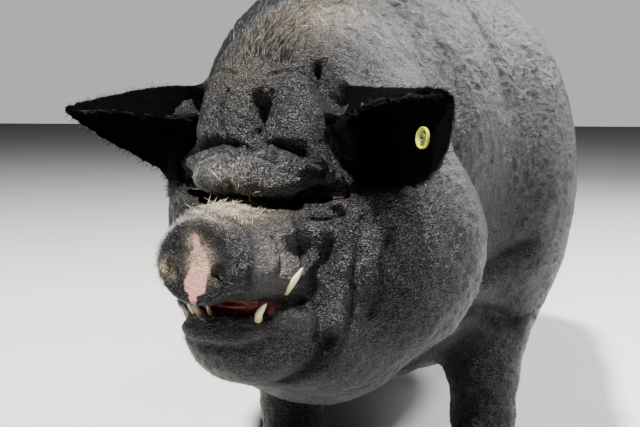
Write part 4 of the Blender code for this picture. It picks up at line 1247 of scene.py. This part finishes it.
def makeHideMaterial(stains, wrinkles):
    material, tree, shader = newMaterial("blackHide")
    place, look = placeOf(tree), hideLook
    relief = groupIn(tree, wrinkles, Place=place)
    dust, pink, mouthRed, sleek = (attributeOf(tree, key) for key in ("dust", "pink", "mouth", "smooth"))
    shaded = shadedBy(tree, look)
    # Painted shade in the creases, painted highlight on the ridges and glinting specks
    ground = mixColour(tree, relief.outputs["Ridge"], *look["creased"])
    ground = mixColour(tree, times(tree, attributeOf(tree, "lid"), 0.5), ground, look["lid"])
    # Lighter grey where the lips and the snout's sides are bare: the bare skin's own grey, and painted light
    # on the snout's lit sides
    ground = mixColour(tree, times(tree, sleek, look["sleekShare"]), ground, look["sleek"])
    # Painted shade in the ears' hollows, the folds and on the nose's plate
    ground = mixColour(tree, shaded, ground, look["shaded"])
    stained = groupIn(tree, stains, Ground=ground, Dust=dust, Pink=pink, Place=place)
    inside = mixColour(tree, noiseOf(tree, place, 120), *look["mouth"])
    tree.links.new(mixColour(tree, mouthRed, stained.outputs["Color"], inside), shader.inputs["Base Color"])
    rough = plus(tree, times(tree, noiseOf(tree, place, 35), 0.24), 0.26)
    rough = less(tree, rough, times(tree, mouthRed, 0.25), True)
    rough = plus(tree, rough, times(tree, shaded, 0.70), True)
    tree.links.new(rough, shader.inputs["Roughness"])
    # Creases and hollows hold no sheen, as metal with a black colour has none: the metallic goes up there
    # and wherever shade is painted
    sheen = times(tree, plus(tree, relief.outputs["Ridge"], look["leastSheen"], True), without(tree, shaded))
    dull = without(tree, sheen)
    for kept in (mouthRed, pink, times(tree, dust, 1.6, True), times(tree, sleek, look["sleekShare"])):
        dull = times(tree, dull, without(tree, kept))
    tree.links.new(dull, shader.inputs["Metallic"])
    shader.inputs["Specular IOR Level"].default_value = look["specular"]
    bumpInto(tree, shader, relief.outputs["Height"], look["bumpDepth"], look["bumpStrength"])
    return material


bristleLook = {"dark": (0.003, 0.003, 0.0035), "pale": (0.86, 0.85, 0.83), "shadeInFolds": 0.9, "shadeOnPlate": 0.48,
               "roughness": 0.36, "specular": 0.24}


def makeBristleMaterial(stains, wrinkles):
    # Some bristles are pale, most where the pale patches are and towards their tips; over the relief's
    # ridges they get a painted highlight, and in hollows, folds and on the nose's plate painted shade
    material, tree, shader = newMaterial("bristles")
    place, look = placeOf(tree), bristleLook
    relief = groupIn(tree, wrinkles, Place=place)
    shade, tip, pale = (attributeOf(tree, key) for key in ("shade", "tip", "pale"))
    shaded = shadedBy(tree, look)
    palest = times(tree, pale, above(tree, shade, 0.20, 2.2))
    light = plus(tree, times(tree, above(tree, shade, 0.62, 6.0), 0.66), palest, True)
    light = times(tree, light, plus(tree, times(tree, tip, 0.7), 0.3))
    # Painted shade: darker in the ears' hollows, the folds and on the nose's plate
    light = times(tree, light, less(tree, 1.0, times(tree, shaded, 0.95)))
    # Painted highlight over the relief's ridges and glinting specks
    ridgeHighlight = plus(tree, relief.outputs["Ridge"], plus(tree, times(tree, pale, 0.40), 0.05))
    light = times(tree, light, ridgeHighlight, True)
    ground = mixColour(tree, light, look["dark"], look["pale"])
    stained = groupIn(tree, stains, Ground=ground, Dust=attributeOf(tree, "dust"), Place=place)
    tree.links.new(stained.outputs["Color"], shader.inputs["Base Color"])
    rough = plus(tree, times(tree, shaded, 1 - look["roughness"]), look["roughness"], True)
    tree.links.new(rough, shader.inputs["Roughness"])
    # Metallic with the near-black colour takes the sheen away where shade is painted
    tree.links.new(times(tree, shaded, 1.15, True), shader.inputs["Metallic"])
    shader.inputs["Specular IOR Level"].default_value = look["specular"]
    return material


# The small pieces: eyes, teeth, tongue, tag and hooves
def plainMaterial(name, low, high, scale, roughness, bumpDepth, mask=None, masked=None, stretch=None):
    # A mottled finish with fine relief, and another colour where the named attribute is high
    material, tree, shader = newMaterial(name)
    place = placeOf(tree)
    mottle = noiseOf(tree, place, scale, 5, 0.6, stretch)
    colour = mixColour(tree, mottle, low, high)
    if mask:
        ragged = plus(tree, attributeOf(tree, mask), times(tree, less(tree, mottle, 0.5), 0.6), True)
        colour = mixColour(tree, ragged, colour, masked)
    tree.links.new(colour, shader.inputs["Base Color"])
    shader.inputs["Roughness"].default_value = roughness
    bumpInto(tree, shader, mottle, bumpDepth)
    return material


def lathe(rows, sides):
    # Points and triangles of a form made of rings with the same count, closed at both ends
    points = np.concatenate([np.asarray(ring) for ring in rows])
    count = len(rows)
    k = np.arange(sides)
    after = (k + 1) % sides
    found = []
    for r in range(count - 1):
        a, b = r * sides + k, r * sides + after
        c, d = a + sides, b + sides
        found += [np.stack([a, b, d], axis=1), np.stack([a, d, c], axis=1)]
    first, last = len(points), len(points) + 1
    points = np.concatenate([points, [np.mean(rows[0], axis=0)], [np.mean(rows[-1], axis=0)]])
    found.append(np.stack([after, k, np.full(sides, first)], axis=1))
    base = (count - 1) * sides
    found.append(np.stack([base + k, base + after, np.full(sides, last)], axis=1))
    return points, np.concatenate(found)


def shapePiece(name, shape, material, nodes, marks=()):
    points, triangles = shape
    mesh = meshFromArrays(name, points, triangles)
    for key, values in dict(marks).items():
        setAttribute(mesh, key, values)
    mesh.shade_smooth()
    return makePiece(name, mesh, material, nodes)


# The eye's white is near black: painted shade of the slit under the brow
eyeLook = {"iris": ((0.008, 0.004, 0.003), (0.022, 0.011, 0.006)), "pupil": (0.002, 0.002, 0.002),
           "shadedWhite": ((0.008, 0.006, 0.005), (0.020, 0.014, 0.012)), "gaze": (0.42, -0.90, -0.06),
           "irisEdge": (32, 35), "pupilEdge": (9, 11), "cornea": 0.06, "corneaEdge": (20, 38)}


def makeEyes():
    # The edges are angles from the gaze, in degrees
    material, tree, shader = newMaterial("brownEye")
    place = placeOf(tree)
    iris = mixColour(tree, noiseOf(tree, place, 900), *eyeLook["iris"])
    shadedWhite = mixColour(tree, noiseOf(tree, place, 300), *eyeLook["shadedWhite"])
    colour = mixColour(tree, attributeOf(tree, "iris"), shadedWhite, iris)
    colour = mixColour(tree, attributeOf(tree, "pupil"), colour, eyeLook["pupil"])
    tree.links.new(colour, shader.inputs["Base Color"])
    shader.inputs["Roughness"].default_value = 0.12
    shader.inputs["Coat Weight"].default_value = 0.4
    shader.inputs["Coat Roughness"].default_value = 0.02
    ball, triangles = primitive(bmesh.ops.create_uvsphere, u_segments=64, v_segments=48, radius=1)
    for side, name in ((1, "eye_left"), (-1, "eye_right")):
        gaze = np.array(eyeLook["gaze"]) * (side, 1, 1)
        gaze /= np.linalg.norm(gaze)
        angle = np.degrees(np.arccos(np.clip(ball @ gaze, -1, 1)))
        pupilWide = ball[:, 0] - gaze[0] * (ball @ gaze)  # a pupil longer from side to side
        cornea = 1 + eyeLook["cornea"] * (1 - smoothStep(angle, *eyeLook["corneaEdge"]))
        shape = placed((ball * eyeball["radius"] * cornea[:, None], triangles), sidedHead(eyeInHead, side))
        shapePiece(name + "_ball", shape, material, [name],
                   {"iris": 1 - smoothStep(angle, *eyeLook["irisEdge"]),
                    "pupil": 1 - smoothStep(angle - 18 * np.abs(pupilWide), *eyeLook["pupilEdge"])})


# Teeth: point in the head's frame and radius, from root to tip. The tusks are pairs
teeth = {
    "tusk_upper": [((0.057, -0.048, -0.086), 0.0037), ((0.0665, -0.053, -0.0775), 0.0036),
                   ((0.0725, -0.053, -0.0705), 0.0029), ((0.077, -0.050, -0.062), 0.0009)],
    "tusk_lower": [((0.034, -0.060, -0.119), 0.0044), ((0.0395, -0.066, -0.107), 0.0041),
                   ((0.044, -0.0665, -0.100), 0.0031), ((0.0485, -0.066, -0.0945), 0.0010)],
    "incisor_left": [((-0.009, -0.070, -0.116), 0.0029), ((-0.009, -0.077, -0.106), 0.0026),
                     ((-0.0085, -0.081, -0.0985), 0.0013)],
    "incisor_right": [((-0.020, -0.068, -0.118), 0.0044), ((-0.022, -0.076, -0.108), 0.0041),
                      ((-0.024, -0.081, -0.0995), 0.0027)],
}
enamel = {
    "tusk": {"low": (0.36, 0.27, 0.12), "high": (0.66, 0.57, 0.35), "scale": 130, "roughness": 0.30,
             "bumpDepth": 0.00025, "mask": "root", "masked": (0.17, 0.115, 0.055)},
    "tooth": {"low": (0.060, 0.034, 0.016), "high": (0.17, 0.11, 0.055), "scale": 260, "roughness": 0.32,
              "bumpDepth": 0.00025, "mask": "root", "masked": (0.16, 0.09, 0.05)},
}


def toothShape(stations, side, sides=22, steps=7):
    line = np.array(curveThrough([(p[0] * side, p[1], p[2]) for p, _ in stations], steps))
    share = np.linspace(0, len(stations) - 1, len(line))
    radii = np.interp(share, range(len(stations)), [r for _, r in stations])
    radii[-1] *= 0.35
    ahead = np.gradient(line, axis=0)
    ahead /= np.linalg.norm(ahead, axis=1)[:, None]
    across = np.cross(ahead, (1.0, 0.2, 0.1))
    across /= np.linalg.norm(across, axis=1)[:, None]
    up = np.cross(ahead, across)
    turn = np.linspace(0, 2 * math.pi, sides, endpoint=False)
    rows = [p + r * (np.cos(turn)[:, None] * a + 0.86 * np.sin(turn)[:, None] * u)
            for p, r, a, u in zip(line, radii, across, up)]
    points, triangles = lathe(rows, sides)
    root = np.append(np.repeat(1 - np.linspace(0, 1, len(line)), sides), (1, 0))
    return placed((points, triangles), headFrame), np.clip(1.5 * root - 0.75, 0, 1)


def makeTeeth():
    ivory = plainMaterial("ivory", **enamel["tusk"])
    stained = plainMaterial("stainedEnamel", **enamel["tooth"])
    for name, stations in teeth.items():
        pair = name.startswith("tusk")
        for side in (1, -1) if pair else (1,):
            node = name + ("" if not pair else "_left" if side > 0 else "_right")
            shape, root = toothShape(stations, side)
            shapePiece(node + "_piece", shape, ivory if pair else stained,
                       [node], {"root": root})


# The profile runs over the front button, down the stem and over the back one, from middle to
# middle: radius, and height from the ear's sheet
tag = {
    "profile": [(0, 0.0078), (0.0022, 0.0078), (0.0026, 0.0098), (0.0034, 0.0100), (0.0040, 0.0082),
                (0.0060, 0.0078), (0.0078, 0.0092), (0.0086, 0.0102), (0.0092, 0.0097), (0.0092, 0.0074),
                (0.0086, 0.0069), (0.0024, 0.0069), (0.0024, -0.0069), (0.0086, -0.0069),
                (0.0092, -0.0076), (0.0090, -0.0094), (0.0080, -0.0099), (0, -0.0100)],
    "sides": 48, "hubRadius": 0.0045, "hubStart": 0.007, "sunk": 0.001,
    "finish": {"low": (0.22, 0.24, 0.008), "high": (0.36, 0.37, 0.014), "scale": 70, "roughness": 0.36,
               "bumpDepth": 0.0001, "mask": "hub", "masked": (0.045, 0.048, 0.012)},
}


def makeTag():
    material = plainMaterial("tagPlastic", **tag["finish"])
    sides = tag["sides"]
    turn = np.linspace(0, 2 * math.pi, sides, endpoint=False)
    rows = [np.stack([max(r, 1e-5) * np.cos(turn), max(r, 1e-5) * np.sin(turn), np.full(sides, h)], axis=1)
            for r, h in reversed(tag["profile"])]
    axis = (earFrame(1).to_3x3() @ Vector((0, -1, 0))).normalized()
    place = Matrix.Translation(nodeMiddle("ear_tag") - tag["sunk"] * axis)
    place = place @ axis.to_track_quat("Z", "X").to_matrix().to_4x4()
    points, triangles = lathe(rows, sides)
    # The hub's dark colour is painted shade in the button's sunken middle
    hub = (np.hypot(points[:, 0], points[:, 1]) < tag["hubRadius"]) * (points[:, 2] > tag["hubStart"])
    shapePiece("tag_piece", placed((points, triangles), place), material, ["ear_tag"],
               {"hub": hub.astype(float)})


tongue = {"halfWidth": 0.0235, "halfLength": 0.0355, "grooveDepth": 0.25, "grooveWidth": 0.16,
          "finish": {"low": (0.24, 0.045, 0.045), "high": (0.42, 0.13, 0.12), "scale": 420,
                     "roughness": 0.24, "bumpDepth": 0.0006}}


def makeTongue():
    # A flattened ball with a groove along its top: the groove is in shares of the tongue's half sizes
    material = plainMaterial("wetTongue", **tongue["finish"])
    low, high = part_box("tongue")
    ball, triangles = primitive(bmesh.ops.create_uvsphere, u_segments=48, v_segments=32, radius=1)
    groove = np.exp(-(ball[:, :1] / tongue["grooveWidth"]) ** 2) * (ball[:, 2:] > 0)
    grooved = ball - np.array((0, 0, tongue["grooveDepth"])) * groove
    middle = headFrame.inverted() @ ((low + high) / 2)
    size = np.array((tongue["halfWidth"], tongue["halfLength"], (high.z - low.z) / 2 - 0.0002))
    place = headFrame @ Matrix.Translation(middle)
    shapePiece("tongue_piece", placed((grooved * size, triangles), place), material, ["tongue"])


hoof = {"length": 0.060, "width": 0.035, "height": 0.030, "tilt": 12, "rings": 9, "ringDepth": 0.00035,
        "finish": {"low": (0.016, 0.014, 0.013), "high": (0.085, 0.070, 0.055), "scale": 55,
                   "roughness": 0.42, "bumpDepth": 0.0005, "stretch": (1, 1, 6)}}


def makeHooves():
    # Each claw is narrower towards its toe and flatter on the side that faces its neighbour
    material = plainMaterial("darkHorn", **hoof["finish"])
    sides, levels = 56, 26
    turn = np.linspace(0, 2 * math.pi, sides, endpoint=False)
    for end in ("fore", "hind"):
        for word, sign in (("left", 1), ("right", -1)):
            for claw in ("outer", "inner"):
                node = f"hoof_{end}_{word}_{claw}"
                low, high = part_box(node)
                inward = -sign if claw == "outer" else sign
                x = (low.x + high.x) / 2 + inward * 0.13 * hoof["width"]
                y = high.y - hoof["length"] / 2
                rows = []
                for k in range(levels + 1):
                    t = k / levels
                    edge = 1 - 0.05 * max(0, 1 - t / 0.08) ** 2 - 0.05 * max(0, (t - 0.93) / 0.07) ** 2
                    ring = hoof["ringDepth"] * math.sin(2 * math.pi * hoof["rings"] * t) * (0.1 < t < 0.95)
                    narrow = 1 - 0.38 * np.clip(-np.sin(turn), 0, 1) ** 2
                    flat = np.where(np.cos(turn) * inward > 0, 0.72, 1.0)
                    wide = hoof["width"] * (1 - 0.06 * t) * edge + 2 * ring
                    long = hoof["length"] * (1 - 0.20 * t) * edge + 2 * ring
                    px = x + 0.5 * np.cos(turn) * wide * narrow * flat - inward * 0.06 * wide
                    py = y + 0.5 * np.sin(turn) * long - 0.010 * (1 - t)
                    top = hoof["height"] - math.tan(math.radians(hoof["tilt"])) * (py - y) - 0.0008
                    rows.append(np.stack([px, py, top * t + 0.0002 * (1 - t)], axis=1))
                shapePiece(node + "_piece", lathe(rows, sides), material, [node])
    for node in sorted(o.name for o in bpy.data.objects if o.name.startswith("dewclaw")):
        for slot in bpy.data.objects[node].material_slots:
            slot.material = material


# The stage
studio = {
    "floor": {"size": 14, "colours": ((0.36, 0.36, 0.35), (0.41, 0.41, 0.40)), "roughness": 0.9},
    "glow": ((0.80, 0.84, 0.90, 1), 0.085),  # colour and strength of the light all round
    "backdrop": ((0.86, 0.87, 0.88, 1), 0.62),  # and of what the camera sees there
    "lights": {  # from the middle of the head: place, width, power and colour
        "key": ((-0.35, -0.95, 3.1), 0.34, 940, (1.0, 0.98, 0.94)),
        "side": ((2.6, -0.1, 2.4), 0.6, 260, (0.95, 0.97, 1.0)),
        "back": ((1.9, 2.5, 2.1), 2.6, 260, (0.95, 0.97, 1.0)),
    },
}


def makeLight(name, place, aim, size, power, colour):
    data = bpy.data.lights.new(name, "AREA")
    data.shape = "DISK"
    data.size = size
    data.energy = power
    data.color = colour
    lamp = bpy.data.objects.new(name, data)
    bpy.context.scene.collection.objects.link(lamp)
    lamp.location = place
    lamp.rotation_euler = (aim - place).to_track_quat("-Z", "Y").to_euler()


def makeFloor():
    look = studio["floor"]
    bm = bmesh.new()
    bmesh.ops.create_grid(bm, x_segments=1, y_segments=1, size=look["size"])
    mesh = bpy.data.meshes.new("floor")
    bm.to_mesh(mesh)
    bm.free()
    floor = bpy.data.objects.new("floor", mesh)
    bpy.context.scene.collection.objects.link(floor)
    material, tree, shader = newMaterial("paleFloor")
    colour = mixColour(tree, noiseOf(tree, placeOf(tree), 3), *look["colours"])
    tree.links.new(colour, shader.inputs["Base Color"])
    shader.inputs["Roughness"].default_value = look["roughness"]
    mesh.materials.append(material)


def makeStage():
    makeFloor()
    world = bpy.data.worlds.new("studio")
    world.use_nodes = True
    tree = world.node_tree
    chosen = tree.nodes.new("ShaderNodeMixShader")
    rays = tree.nodes.new("ShaderNodeLightPath")
    tree.links.new(rays.outputs["Is Camera Ray"], chosen.inputs[0])
    seen = tree.nodes.new("ShaderNodeBackground")
    for k, (node, key) in enumerate(((tree.nodes["Background"], "glow"), (seen, "backdrop"))):
        node.inputs["Color"].default_value, node.inputs["Strength"].default_value = studio[key]
        tree.links.new(node.outputs[0], chosen.inputs[k + 1])
    tree.links.new(chosen.outputs[0], tree.nodes["World Output"].inputs["Surface"])
    bpy.context.scene.world = world
    aim = headPlace + Vector((0, 0.1, 0))
    for name, (place, *rest) in studio["lights"].items():
        makeLight(name, aim + Vector(place), aim, *rest)


cameraView = {"lens": 65, "sensor": 36, "fromHead": (0.240, -1.075, 0.095), "turn": 10, "down": 6.1}


def makeCamera():
    data = bpy.data.cameras.new("camera")
    data.lens = cameraView["lens"]
    data.sensor_width = cameraView["sensor"]
    data.clip_start = 0.05
    camera = bpy.data.objects.new("camera", data)
    bpy.context.scene.collection.objects.link(camera)
    camera.location = headPlace + Vector(cameraView["fromHead"])
    around, down = math.radians(cameraView["turn"]), math.radians(cameraView["down"])
    look = Vector((-math.sin(around) * math.cos(down), math.cos(around) * math.cos(down), -math.sin(down)))
    camera.rotation_euler = look.to_track_quat("-Z", "Y").to_euler()
    bpy.context.scene.camera = camera


fleshNodes = ["trunk", "neck", "head", "lower_jaw", "nose", "ear_left", "ear_right", "tail",
              "foreleg_left", "foreleg_right", "hindleg_left", "hindleg_right"]
makeStage()
makeCamera()
print("stage and camera done")
stains, wrinkles = makeStainGroup(), makeWrinkleGroup()
hide = makeHideMaterial(stains, wrinkles)
bristles = makeBristleMaterial(stains, wrinkles)
skin = makeSkin()
for key, values in marksAndShade(pointsOf(skin), normalsOf(skin)).items():
    setAttribute(skin, key, values)
makePiece("skin", skin, hide, fleshNodes)
print("skin:", len(skin.vertices), "points")
makeCoat(skin, bristles)
print("coat done")
makeEyes()
makeTeeth()
makeTag()
makeTongue()
makeHooves()
print("small pieces done")
